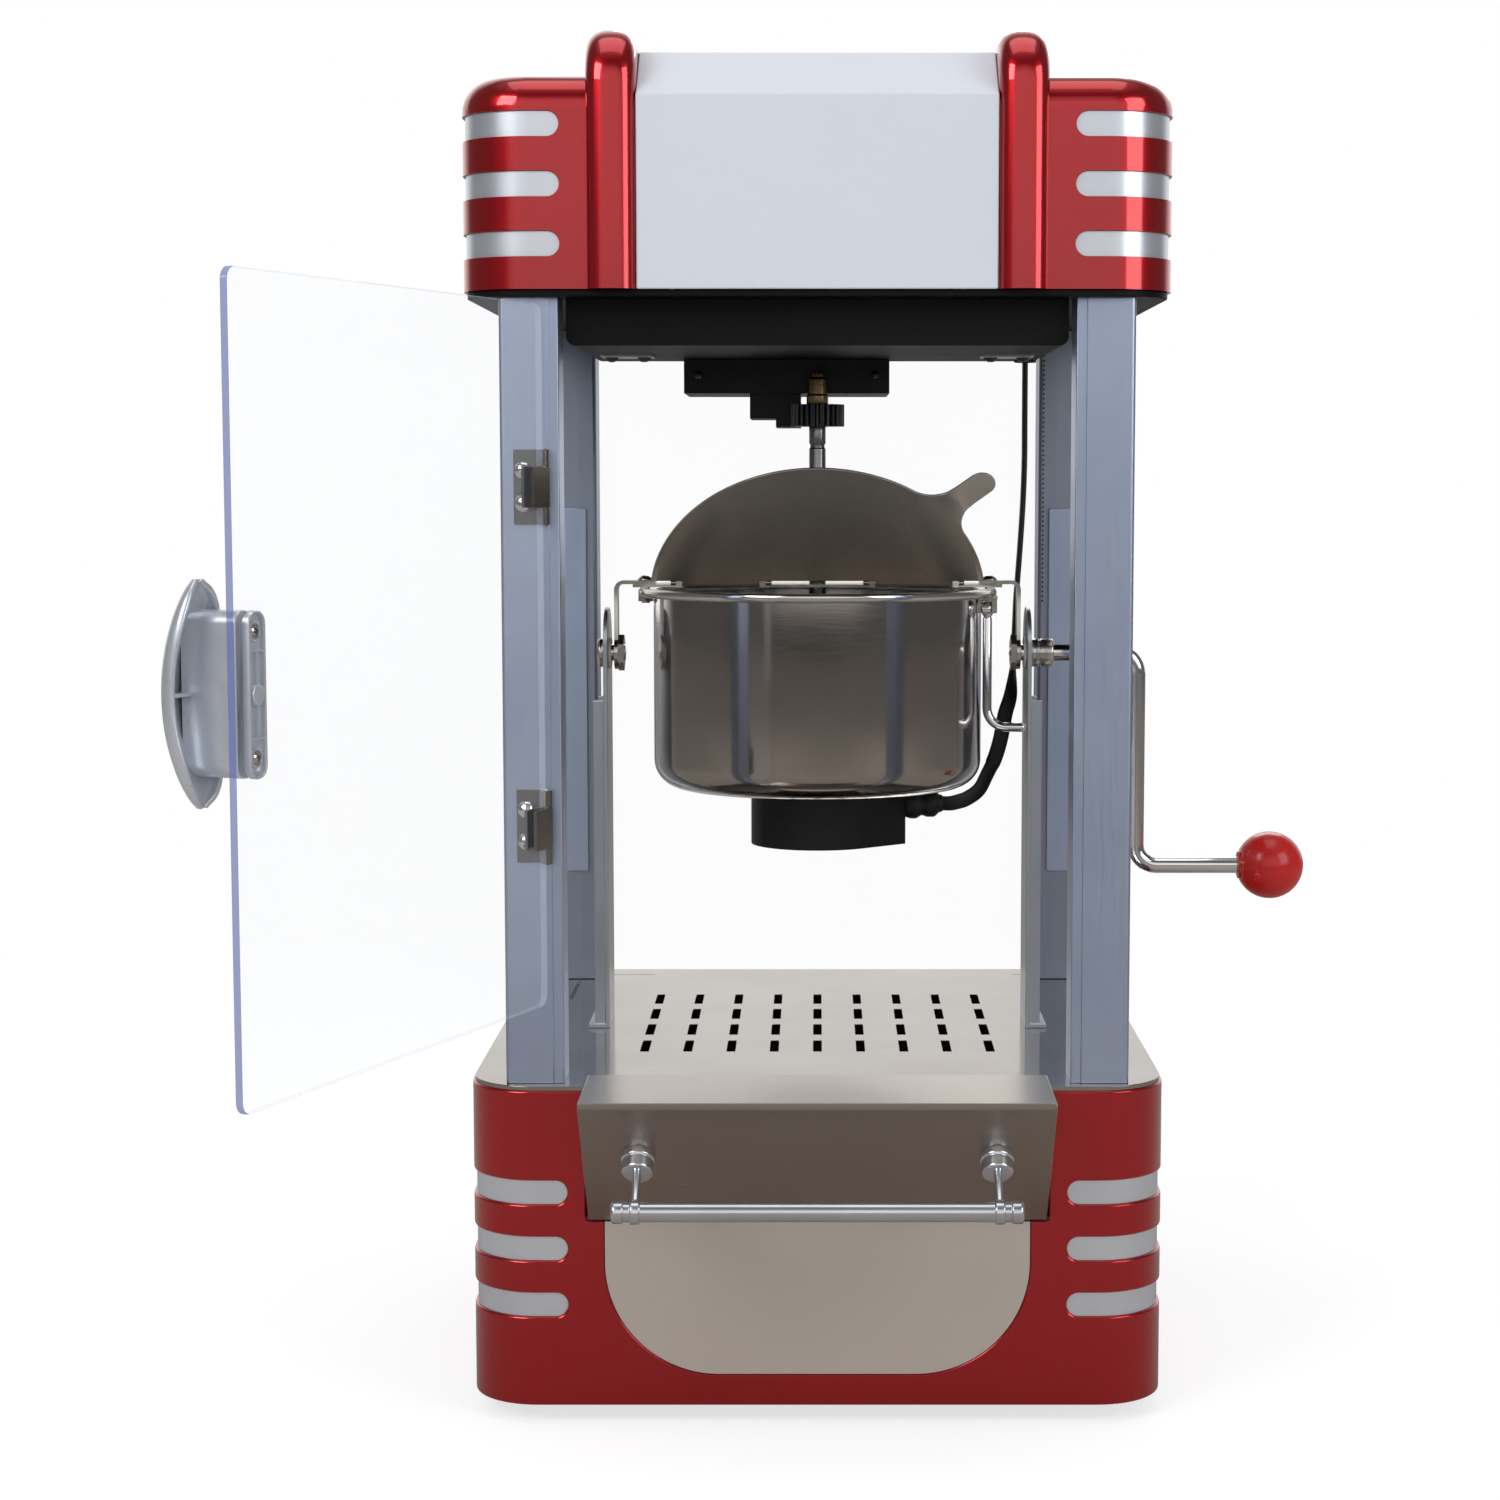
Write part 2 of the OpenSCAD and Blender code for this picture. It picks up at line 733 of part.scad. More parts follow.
module heat_rocker() { rocker(-rocker_x); }
module motor_rocker() { rocker(rocker_x); }

module mains_gland() {
    color("#161616") translate([0, head_d / 2 + 1, ends_z + 16]) rotate([-90, 0, 0]) difference() {
        union() {
            cylinder(r = 10, h = 5);
            translate([0, 0, -8]) cylinder(r = 6.9, h = 9);
            translate([0, 0, 5]) cylinder(r = 7, h = 7);
        }
        translate([0, 0, -9]) cylinder(r = 3.7, h = 22);
    }
}

// ---- ceiling and drive ----

module ceiling_pan() {
    t = 1.5;
    r = 4;
    d = pan_front + pan_back;
    color("#101012") difference() {
        translate([0, (pan_back - pan_front) / 2, 0]) rotate([90, 0, 0]) linear_extrude(d, center = true) {
            translate([-pan_half, pan_z + r]) square([2 * pan_half, pan_drop - r]);
            translate([-pan_half + r, pan_z]) square([2 * (pan_half - r), pan_drop]);
            for (s = [-1, 1]) translate([s * (pan_half - r), pan_z + r]) circle(r);
        }
        translate([-pan_half + r + t, -pan_front + t, pan_z + t])
            cube([2 * (pan_half - r - t), d - 2 * t, pan_drop]);
        translate([-pan_half + t, -pan_front + t, pan_z + r + t])
            cube([2 * (pan_half - t), d - 2 * t, pan_drop]);
        translate([cord_x, cord_y, pan_z - e]) cylinder(r = 4, h = 2 * e + t);
        translate([0, gear_c, pan_z - e]) cylinder(r = 6, h = 2 * e + t);
    }
}

module ceiling_clips() {
    plate_x = 87.5;
    color("#a8adb5") for (s = [-1, 1]) {
        translate([s * plate_x - 12, -52, pan_z - 1.2]) cube([24, 22, 1.2]);
        for (dx = [-7.5, 7.5]) translate([s * plate_x + dx, -41, pan_z - 1.2]) rotate([180, 0, 0])
            pan_screw(2.6, 1.2, 1);
    }
}

module drive_case() {
    wall = 1.6;
    y0 = sleeve_r + 1.6;
    color("#141416") difference() {
        union() {
            translate([-64, y0, case_z]) cube([98.5, 58, case_drop]);
            // stepped boss beside the pinion
            translate([-32.5, 11, gear_z + 4]) cube([24.5, 38, case_z - gear_z - 4]);
            translate([-20, 11, gear_z]) cube([12, 38, 5]);
        }
        translate([-64 + wall, y0 + wall, case_z + wall])
            cube([98.5 - 2 * wall, 58 - 2 * wall, case_drop]);
        translate([0, gear_c, case_z - e]) cylinder(r = pinion_shaft_r + run, h = wall + 2 * e);
        for (x = [-57, 27.5]) translate([x, y0 - e, case_z + 8.6]) rotate([-90, 0, 0])
            cylinder(r = 1.5, h = 4);
    }
}

module gear_motor() {
    color("#5a5d63") translate([-14, pan_back + 33, 0]) {
        translate([0, 0, pan_z]) cylinder(r = 30, h = 26);
        translate([0, 0, pan_z + 26]) cylinder(r = 24, h = 34);
        translate([0, 0, pan_z + 60]) cylinder(r = 6, h = 4);
    }
}

module motor_pinion() {
    color("#4a4a4d") translate([0, gear_c, 0]) {
        translate([0, 0, gear_z + 0.5]) rotate([0, 0, pinion_teeth % 4 == 0 ? 0 : 180 / pinion_teeth])
            spur(pinion_teeth, pinion_h);
        translate([0, 0, gear_z + 0.5]) cylinder(r = pinion_shaft_r, h = pan_z + 8 - gear_z);
        // collar inside the drive case carries the pinion
        translate([0, 0, case_z + 1.7]) cylinder(r = 6, h = 4);
    }
}

// ---- hinges and door ----

module hinge_heights() {
    for (s = [-1, 1]) translate([0, 0, door_mid + s * hinge_span / 2]) children();
}

module hinge_leaves() {
    leaf_x = -pillar_x + 6;
    end_h = 7;
    color("#b5ab98") hinge_heights() {
        difference() {
            union() {
                translate([leaf_x, -pillar_y - leaf_t, -hinge_h / 2])
                    cube([hinge_x + knuckle_r - leaf_x, leaf_t, hinge_h]);
                for (z = [-hinge_h / 2, hinge_h / 2 - end_h]) {
                    translate([hinge_x, hinge_y, z]) cylinder(r = knuckle_r, h = end_h);
                    translate([hinge_x, hinge_y, z])
                        cube([knuckle_r, -pillar_y - hinge_y - leaf_t / 2, end_h]);
                }
            }
            translate([hinge_x, hinge_y, -hinge_h]) cylinder(r = hinge_pin_r, h = 2 * hinge_h);
        }
        for (z = [-8, 8]) translate([leaf_x + 6.8, -pillar_y - leaf_t, z]) rotate([90, 0, 0])
            pan_screw(4.2, 1.6, leaf_t);
    }
}

module hinge_pins() {
    color("#c9c9c9") hinge_heights() translate([hinge_x, hinge_y, -hinge_h / 2 - 0.5])
        cylinder(r = hinge_pin_r, h = hinge_h + 1);
}

// Places children that are drawn for a closed door at the door's rest angle. X runs from the hinge's axis
// along the panel, Y across it (outwards is -Y), Z up from the door's middle.
module on_door() {
    translate([hinge_x, hinge_y, door_mid]) rotate([0, 0, -door_open]) children();
}

module door_panel() {
    w = door_w - panel_start;
    mid = panel_start + w / 2;
    color("#e4ecf6", 0.25) on_door() translate([mid, 0, 0]) rotate([90, 0, 0]) difference() {
        linear_extrude(door_t, center = true) rounded_rect(w, door_h, door_r);
        for (z = [-22.5, 22.5]) translate([plate_s - mid, z, -5]) cylinder(r = 1.6, h = 10);
    }
}

module door_hinge_clips() {
    mid_h = hinge_h - 14.6;
    color("#b5ab98") on_door() for (s = [-1, 1]) translate([0, 0, s * hinge_span / 2]) difference() {
        union() {
            translate([0, 0, -mid_h / 2]) cylinder(r = knuckle_r, h = mid_h);
            translate([0, -door_t / 2 - clip_t, -mid_h / 2])
                cube([clip_len, door_t + 2 * clip_t, mid_h]);
        }
        translate([panel_start, -door_t / 2, -hinge_h]) cube([clip_len, door_t, 2 * hinge_h]);
        translate([0, 0, -hinge_h]) cylinder(r = hinge_pin_r + run, h = 2 * hinge_h);
    }
}

// Bow grip: a slice of a curved sheet, cut to an oval, on a standoff block
module door_grip() {
    bow_r = 95;
    sheet = 5;
    block_h = grip_out - sheet + 1.2;
    oval_r = (grip_len * grip_len / 4 + grip_w * grip_w / 4) / grip_w;
    outer = -door_t / 2 - grip_out + sheet;
    color("#9ba0a8") on_door() {
        intersection() {
            difference() {
                translate([grip_s, outer - sheet + bow_r, 0]) rotate([0, 90, 0])
                    cylinder(r = bow_r, h = grip_w + 4, center = true, $fn = 128);
                translate([grip_s, outer + bow_r, 0]) rotate([0, 90, 0])
                    cylinder(r = bow_r, h = grip_w + 6, center = true, $fn = 128);
            }
            intersection_for(s = [-1, 1])
                translate([grip_s + s * (oval_r - grip_w / 2), -door_t / 2 - grip_out / 2, 0])
                    rotate([90, 0, 0]) cylinder(r = oval_r, h = grip_out + 20, center = true);
        }
        difference() {
            translate([plate_s, -door_t / 2 - block_h / 2, 0]) rotate([90, 0, 0])
                rounded_block(plate_w, plate_len, block_h, 4);
            for (z = [-22.5, 22.5]) translate([plate_s, e, z]) rotate([90, 0, 0]) cylinder(r = 1.3, h = 12);
        }
    }
}

module rounded_block(w, l, h, r) {
    translate([0, 0, -h / 2]) linear_extrude(h) rounded_rect(w, l, r);
}

module door_back_plate() {
    t = 2.6;
    color("#9ba0a8") on_door() translate([plate_s, door_t / 2, 0]) rotate([-90, 0, 0]) difference() {
        union() {
            linear_extrude(t) rounded_rect(plate_w, plate_len, 4);
            cylinder(r = 3.4, h = t + 0.5);
        }
        for (y = [-13, 13]) translate([0, y, t - 1.4]) rounded_slab(plate_w - 4, 13, 3, 2);
        for (y = [-22.5, 22.5]) {
            translate([0, y, t - 1.6]) cylinder(r = 3.2, h = 3);
            translate([0, y, -e]) cylinder(r = 1.6, h = 5);
        }
    }
}

module door_screws() {
    color("#c9c9c9") on_door() for (z = [-22.5, 22.5])
        translate([plate_s, door_t / 2 + 1, z]) rotate([-90, 0, 0]) pan_screw(2.4, 1.3, 10);
}

// ---- kettle ----

module kettle_pot() {
    r = pot_r;
    t = pot_t;
    c = pot_corner;
    boss_r = 2.5;
    color("#c4c4c4") rotate_extrude() {
        translate([r - t, pot_z + c]) square([t, rim_under - pot_z - c]);
        translate([0, pot_z]) square([r - c, t]);
        translate([r - c, pot_z + c]) intersection() {
            difference() {
                circle(c);
                circle(c - t);
            }
            translate([0, -c]) square([c, c]);
        }
        // centre pin that the agitator turns on
        translate([0, pot_z]) square([boss_r, 14]);
    }
}

module kettle_rim() {
    color("#cfcfcf") difference() {
        rotate_extrude() {
            translate([pot_r - pot_t, rim_under]) square([rim_r - pot_r + pot_t - rim_t / 2, rim_t]);
            translate([rim_r - rim_t / 2, rim_under + rim_t / 2]) circle(rim_t / 2);
        }
        for (s = [-1, 1]) translate([s * ear_x, 0, rim_under - e]) cylinder(r = 2 + run, h = rim_t + 2 * e);
    }
}

module lid_crossbar() {
    half_w = 5;
    lug_over = rod_r + 0.5;
    lug_h = lid_z - bar_z + lug_over;
    lug_mid = (lug_spots[0] + lug_spots[1]) / 2;
    color("#c9c9c9") difference() {
        union() {
            translate([-ear_x - 6, -half_w, bar_z]) cube([2 * (ear_x + 6), 2 * half_w, bar_t]);
            for (s = [-1, 1], y = [-1, 1], x = lug_spots)
                translate([s * x - lug_t / 2, y > 0 ? half_w - 2 : -lid_y - lug_over, bar_z])
                    cube([lug_t, lid_y + lug_over + 2 - half_w, lug_h]);
            for (s = [-1, 1], y = [-1, 1]) translate([s * lug_mid, y * lid_y, lid_z])
                rotate([0, 90, 0]) cylinder(r = rod_r, h = lug_spots[1] - lug_spots[0] + 8, center = true);
        }
        translate([0, 0, bar_z - e]) cylinder(r = shaft_r + run, h = bar_t + 2 * e);
        for (s = [-1, 1]) translate([s * ear_x, 0, bar_z - e]) cylinder(r = 2 + run, h = bar_t + 2 * e);
    }
}

module yoke_straps() {
    top = bar_z + bar_t;
    inner = ear_x - 5;
    color("#c9c9c9") for (s = [-1, 1]) mirror([s > 0 ? 0 : 1, 0, 0]) difference() {
        union() {
            translate([inner, -strap_w / 2, top]) cube([strap_x + strap_t - inner, strap_w, strap_t]);
            translate([strap_x, -strap_w / 2, pivot_z]) cube([strap_t, strap_w, top + strap_t - pivot_z]);
            translate([strap_x, 0, pivot_z]) rotate([0, 90, 0]) cylinder(r = 8, h = strap_t);
        }
        translate([ear_x, 0, top - e]) cylinder(r = 2 + run, h = strap_t + 2 * e);
        translate([strap_x - e, 0, pivot_z]) rotate([0, 90, 0]) cylinder(r = pivot_r, h = strap_t + 2 * e);
    }
}

module yoke_fasteners() {
    top = bar_z + bar_t + strap_t;
    color("#bdbdbd") for (s = [-1, 1]) {
        translate([s * ear_x, 0, top]) pan_screw(3.8, 2, top - rim_under + 4);
        translate([s * ear_x, 0, rim_under - 3.2]) rotate([0, 0, 30]) hex_nut(7, 3.2, 2);
        // nut on the kettle's side of the pivot
        translate([s * (strap_x - 1.4) - 1.4, 0, pivot_z]) rotate([0, 90, 0]) hex_nut(15, 2.8, pivot_r);
    }
}

module pivot_hardware() {
    inner = strap_x - 3.6;
    outer = support_x + support_t + 0.7;
    color("#bdbdbd") {
        // left pin with its head outside the support
        translate([-outer - 3, 0, pivot_z]) rotate([0, 90, 0]) cylinder(r = pivot_r, h = outer + 3 - inner);
        translate([-outer - 3, 0, pivot_z]) rotate([0, 90, 0]) difference() {
            cylinder(r = 7, h = 3);
            translate([0, 0, -e]) cylinder(r = pivot_r, h = 3 + 2 * e);
        }
        // set collar on the crank rod
        translate([outer, 0, pivot_z]) rotate([0, 90, 0]) difference() {
            cylinder(r = 6.8, h = 10.6);
            translate([0, 0, -e]) cylinder(r = pivot_r, h = 10.6 + 2 * e);
        }
    }
}

// Rod bent through a right angle: straight lengths and a quarter of a ring
module crank_rod() {
    r = pivot_r;
    b = arm_bend;
    inner = strap_x - 3.6;
    foot_z = pivot_z - arm_len;
    color("#c9c9c9") {
        translate([inner, 0, pivot_z]) rotate([0, 90, 0]) cylinder(r = r, h = arm_x - b - inner);
        translate([arm_x - b, 0, pivot_z - b]) rotate([90, 0, 0]) intersection() {
            rotate_extrude() translate([b, 0]) circle(r);
            translate([0, 0, -r - e]) cube([b + r + e, b + r + e, 2 * (r + e)]);
        }
        translate([arm_x, 0, foot_z + b]) cylinder(r = r, h = arm_len - 2 * b);
        translate([arm_x + b, 0, foot_z + b]) rotate([90, 0, 0]) intersection() {
            rotate_extrude() translate([b, 0]) circle(r);
            translate([-b - r - e, -b - r - e, -r - e]) cube([b + r + e, b + r + e, 2 * (r + e)]);
        }
        translate([arm_x + b, 0, foot_z]) rotate([0, 90, 0]) cylinder(r = r, h = knob_x - arm_x - b + 4);
    }
}

module crank_knob() {
    color("#a5201c") translate([knob_x, 0, pivot_z - arm_len]) rotate([0, -90, 0]) rotate_extrude()
        difference() {
            intersection() {
                circle(knob_r);
                translate([0, -knob_r]) square([knob_r, 2 * knob_r]);
            }
            translate([0, -4]) square([pivot_r, knob_r + 4 + e]);
        }
}

// Round can with a pointed nose towards the cord
module nose_profile(r, x, w) {
    circle(r = r);
    // the nose's sides touch the circle
    c = atan2(w / 2, x) + acos(r / norm([x, w / 2]));
    polygon([[0, 0], [r * cos(c), -r * sin(c)], [x, -w / 2], [x, w / 2], [r * cos(c), r * sin(c)]]);
}

module heater_housing() {
    t = 2;
    color("#17171a") difference() {
        translate([0, 0, heater_z]) linear_extrude(heater_h) nose_profile(heater_r, heater_nose, nose_w);
        translate([0, 0, heater_z + t]) linear_extrude(heater_h)
            nose_profile(heater_r - t, heater_nose - t, nose_w - 2 * t);
        translate([heater_nose - 3 * t, 0, relief_z]) rotate([0, 90, 0]) cylinder(r = 3.5, h = 5 * t);
    }
}

module heating_element() {
    color("#8a6a4a") translate([0, 0, pot_z]) rotate_extrude() translate([24, -4]) circle(3.9);
    color("#8a8f96") translate([0, 0, pot_z - 3]) cylinder(r = 18, h = 3);
}

module thermostat() {
    color("#d9d5c8") translate([0, 0, pot_z - 12]) cylinder(r = 8, h = 9);
    color("#8a8f96") for (x = [-5, 5]) translate([x - 0.4, -2, pot_z - 17]) cube([0.8, 4, 5]);
}

relief_z = heater_z + 19;
module strain_relief() {
    color("#101012") translate([heater_nose, 0, relief_z]) rotate([0, 90, 0]) {
        translate([0, 0, -3]) cylinder(r = 3.4, h = 3);
        cylinder(r = 7.4, h = 7.6);
        translate([0, 0, 7.6]) cylinder(r = 5.8, h = 1.4);
        translate([0, 0, 9]) cylinder(r = 6.6, h = 7.3);
        translate([0, 0, 16.3]) cylinder(r = 4.2, h = 1.8);
    }
}

// The kettle's cord, from its strain relief up to the grommet in the ceiling pan. The points are set for the
// sizes above and move with the strain relief at one end and the ceiling pan at the other.
cord_r = 3;
cord_sides = 10;
cord_x = 100;
cord_y = 14;
relief_end = heater_nose + 18.1;
cord_low = [[0, 0, 0], [4, 0, 0], [8, 1, 0.8], [12, 3, 2], [18, 6, 6], [22, 9, 13], [26, 12, 21],
            [29, 14, 31], [31, 15, 42]];
cord_high = [[94, 15, 308], [95, 15, 320], [95.5, 15, 332], [96, 15, 344], [96.5, 15, 356], [97.5, 15, 370],
             [98.5, 14, 386], [99.5, 14, 404], [100, 14, 422], [100, 14, 440], [100, 14, 456]];
cord_route = concat(
    [for (p = cord_low) p + [relief_end, 0, relief_z]],
    cord_high,
    [[cord_x, cord_y, pan_z - 1]]);

module kettle_cord() {
    color("#0d0d0f") swept_tube(cord_route, cord_r, cord_sides);
}

module cord_grommet() {
    color("#101012") translate([cord_x, cord_y, pan_z]) {
        translate([0, 0, -1]) cylinder(r = 5.4, h = 1);
        cylinder(r = 3.9, h = 1.5);
    }
}

// ---- lift handle ----

lug_a = -14;
lug_at = [rim_r * 0.965 * cos(lug_a), rim_r * 0.965 * sin(lug_a), rim_under];

module lift_handle_lug() {
    color("#bdbdbd") translate(lug_at) rotate([0, 0, lug_a]) difference() {
        union() {
            translate([-4, -4.5, -1.5]) cube([8, 9, 1.5]);
            for (x = [-4, 2.6]) translate([x, -3.5, -8]) cube([1.4, 7, 7]);
            translate([-4, 0, -6]) rotate([0, 90, 0]) cylinder(r = 1.2, h = 8);
        }
    }
}

module lift_handle() {
    r = 2.2;
    b = 9;
    drop = 53;
    // the foot's end stays inside the kettle supports, which it passes as the kettle tips
    foot = (support_x - 0.6 - lug_at[0] + r * sin(lug_a)) / cos(lug_a) - b;
    color("#c9c9c9") translate(lug_at) rotate([0, 0, lug_a]) {
        difference() {
            union() {
                translate([-2.3, 0, -6]) rotate([0, 90, 0]) cylinder(r = 3.4, h = 4.6);
                translate([0, 0, -drop]) cylinder(r = r, h = drop - 8);
            }
            translate([-4, 0, -6]) rotate([0, 90, 0]) cylinder(r = 1.2 + run, h = 8);
        }
        translate([b, 0, -drop]) rotate([90, 0, 0]) intersection() {
            rotate_extrude() translate([b, 0]) circle(r);
            translate([-b - r - e, -b - r - e, -r - e]) cube([b + r + e, b + r + e, 2 * (r + e)]);
        }
        translate([b, 0, -drop - b]) rotate([0, 90, 0]) cylinder(r = r, h = foot);
    }
}

// ---- agitator ----

floor_z = pot_z + pot_t;
module agitator_shaft() {
    color("#b0b0b0") difference() {
        translate([0, 0, floor_z + 0.5]) cylinder(r = shaft_r, h = gear_z - floor_z - 0.5);
        translate([0, 0, floor_z - e]) cylinder(r = 2.5 + run, h = 16);
    }
}

module agitator_gear() {
    bore = 2.6;
    color("#303236") rotate([0, 0, 180 / gear_teeth + (gear_teeth % 4 == 0 ? 0 : 180 / gear_teeth)])
        difference() {
            translate([0, 0, gear_z]) spur(gear_teeth, gear_h);
            translate([0, 0, gear_z - e]) cylinder(r = bore, h = gear_h + 2 * e);
        }
}

module bronze_sleeve() {
    color("#8a6d3b") {
        translate([0, 0, gear_z]) cylinder(r = 2.6, h = gear_h);
        translate([0, 0, gear_top]) cylinder(r = sleeve_r, h = sleeve_top - gear_top - 3);
        translate([0, 0, sleeve_top - 3]) cylinder(r = sleeve_r - 0.8, h = 3);
    }
}

module stir_arm() {
    arm = pot_r - pot_t - pot_corner - 2;
    color("#b0b0b0") difference() {
        union() {
            translate([0, 0, floor_z + 0.6]) cylinder(r = 9, h = 9);
            for (a = [0, 180]) rotate([0, 0, a]) {
                translate([0, 0, floor_z + 4]) rotate([0, 90, 0]) cylinder(r = 2, h = arm);
                translate([arm - 4, 0, floor_z + 4]) cylinder(r = 2, h = 16);
            }
            for (a = [90, 270]) rotate([0, 0, a])
                translate([0, 0, floor_z + 4]) rotate([0, 90, 0]) cylinder(r = 2, h = arm * 0.6);
        }
        translate([0, 0, floor_z - e]) cylinder(r = shaft_r, h = 20);
    }
}

// ---- lids ----

// Lid half drawn closed, hinged on X through the origin, reaching towards -Y. Its sheet lies low, just
// over the rim.
module lid_half(tab) {
    first = 2.8;
    centre = lid_y;
    sheet_z = rim_z + fit - lid_z;
    translate([0, 0, sheet_z]) linear_extrude(lid_t) difference() {
        union() {
            intersection() {
                translate([0, centre]) circle(lid_r);
                translate([-lid_r, -lid_r]) square([2 * lid_r, lid_r - first]);
            }
            if (tab) {
                reach = tab_reach - tab_w / 2;
                translate([0, centre]) rotate(-tab_angle) {
                    translate([lid_r * 0.8, -tab_w / 2]) square([reach - lid_r * 0.8, tab_w]);
                    translate([reach, 0]) circle(tab_w / 2);
                }
            }
        }
        // room for the shaft
        translate([0, centre]) circle(shaft_r + 7);
    }
    for (s = [-1, 1]) {
        x0 = lug_spots[0] + lug_t / 2 + fit;
        x1 = lug_spots[1] - lug_t / 2 - fit;
        translate([s * (x0 + x1) / 2, 0, 0]) difference() {
            union() {
                rotate([0, 90, 0]) cylinder(r = lid_knuckle_r, h = x1 - x0, center = true);
                translate([-(x1 - x0) / 2, -first - e, sheet_z]) cube([x1 - x0, first + e, lid_t]);
            }
            rotate([0, 90, 0]) cylinder(r = rod_r + run, h = x1 - x0 + 2 * e, center = true);
        }
    }
}

module front_lid() {
    color("#b5b5b7") translate([0, -lid_y, lid_z]) rotate([-lid_open, 0, 0]) lid_half(true);
}

module rear_lid() {
    color("#b5b5b7") translate([0, lid_y, lid_z]) rotate([0, 0, 180]) lid_half(false);
}

// ---- drawer ----

module kernel_drawer() {
    t = drawer_t;
    y_in = apron_y + t * 1.2;
    side_top = drawer_z + drawer_rise;
    shelf_y = -pillar_y - 2.5;
    cheek_y = -head_d / 2 - fit;
    color("#a9abae") {
        // shelf, nose, apron and floor in one bent sheet
        side_profile(2 * drawer_half) polygon([
            [shelf_y, nose_z], [nose_y, nose_z], [nose_y, apron_top], [apron_y, drawer_z],
            [drawer_back, drawer_z], [drawer_back, drawer_z + t], [y_in, drawer_z + t],
            [nose_y + 3.2, nose_z - t], [shelf_y, nose_z - t]]);
        for (s = [-1, 1]) translate([s * (drawer_half - t / 2), 0, 0]) side_profile(t) polygon([
            [drawer_back, drawer_z], [drawer_back, side_top], [cheek_y, side_top], [cheek_y, nose_z - t],
            [nose_y + 3, nose_z - t], [nose_y + 2, apron_top], [apron_y, drawer_z]]);
        translate([-drawer_half, drawer_back - t, drawer_z]) cube([2 * drawer_half, t, drawer_rise]);
    }
}

// Frame whose +Z points straight out of the apron, at the height where the posts stand
module on_apron() {
    translate([0, nose_y + post_share * apron_run, apron_top - post_share * apron_fall])
        rotate([90 + (90 - apron_angle), 0, 0]) children();
}

module drawer_bar() {
    color("#a9b0ba") on_apron() {
        for (s = [-1, 1]) {
            translate([s * post_x, 0, 0]) cylinder(r = 7.4, h = 10);
            translate([s * post_x - 1.5, -4, 10]) cube([3, 8, bar_off - 10]);
            translate([s * post_x, 0, bar_off]) rotate([0, 90, 0])
                cylinder(r = bar_r + 1, h = 4, center = true);
            translate([s * (bar_half - 1.5), 0, bar_off]) rotate([0, 90, 0])
                cylinder(r = bar_r + 0.7, h = 5, center = true);
        }
        translate([-bar_half, 0, bar_off]) rotate([0, 90, 0]) cylinder(r = bar_r, h = 2 * bar_half);
    }
}

rubber_feet();
base_pan();
base_shell();
base_slot_strips();
base_front_panel();
deck_plate();
drawer_runners();
front_pillars();
rear_pillars();
side_panes();
rear_pane();
pane_retainers();
kettle_supports();
pivot_bushes();
head_chassis();
head_ends();
head_fins();
head_slot_strips();
head_cover();
head_rear_panel();
ceiling_pan();
ceiling_clips();
drive_case();
gear_motor();
cord_grommet();
mains_gland();
switch_bezels();
hinge_leaves();
hinge_pins();
motor_pinion();
heat_rocker();
motor_rocker();
door_panel();
door_hinge_clips();
door_grip();
door_back_plate();
door_screws();
kettle_pot();
kettle_rim();
yoke_straps();
yoke_fasteners();
pivot_hardware();
crank_rod();
crank_knob();
heater_housing();
heating_element();
thermostat();
strain_relief();
kettle_cord();
lid_crossbar();
lift_handle_lug();
lift_handle();
agitator_shaft();
agitator_gear();
bronze_sleeve();
stir_arm();
front_lid();
rear_lid();
kernel_drawer();
drawer_bar();
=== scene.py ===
# %% [markdown]
# # A tabletop popcorn maker
# The machine stands on four rubber feet. A red base and a red head are joined by four silver pillars, and
# a steel kettle hangs between them on a pivot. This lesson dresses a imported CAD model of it: the CAD
# solids give every size, and Blender gives the shapes and finishes that sheet metal, wire and plastic
# really have. The first cell loads the CAD model. Its nodes keep their places, so a new piece is made
# where its node already is. The record tells which body each node belongs to, and which material slot it
# has.

# %% Load the CAD frame
import bpy, bmesh, json, math
import numpy as np
from mathutils import Matrix, Vector


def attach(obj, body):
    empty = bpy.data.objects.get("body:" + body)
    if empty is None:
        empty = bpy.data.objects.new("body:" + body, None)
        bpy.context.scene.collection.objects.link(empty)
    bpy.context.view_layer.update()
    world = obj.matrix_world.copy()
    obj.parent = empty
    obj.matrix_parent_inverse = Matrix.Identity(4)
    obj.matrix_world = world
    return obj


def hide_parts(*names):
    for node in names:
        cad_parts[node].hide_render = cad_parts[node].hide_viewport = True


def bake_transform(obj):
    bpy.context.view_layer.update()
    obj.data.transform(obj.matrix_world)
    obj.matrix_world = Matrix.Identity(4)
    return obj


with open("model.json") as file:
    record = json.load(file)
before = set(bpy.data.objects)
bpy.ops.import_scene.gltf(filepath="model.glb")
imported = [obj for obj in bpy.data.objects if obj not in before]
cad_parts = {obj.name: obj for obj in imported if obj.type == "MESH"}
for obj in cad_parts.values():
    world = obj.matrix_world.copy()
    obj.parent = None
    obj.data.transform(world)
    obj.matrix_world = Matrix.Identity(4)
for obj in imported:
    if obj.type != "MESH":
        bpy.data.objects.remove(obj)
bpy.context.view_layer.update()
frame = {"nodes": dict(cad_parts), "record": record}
scene = bpy.context.scene
MM = 0.001
NODE_SLOT = {row["node"]: row["material_slot"] for row in frame["record"]["subparts"]}
BODY_OF = {node: body for body, nodes in frame["record"]["behaviour"]["bodies"].items() for node in nodes}
print("CAD nodes:", len(frame["nodes"]))

# %% [markdown]
# ## The camera
# A long lens keeps the four pillars almost parallel. The camera looks down a little, and the small
# sideways shift puts the machine right of the middle, which leaves room for the open door.

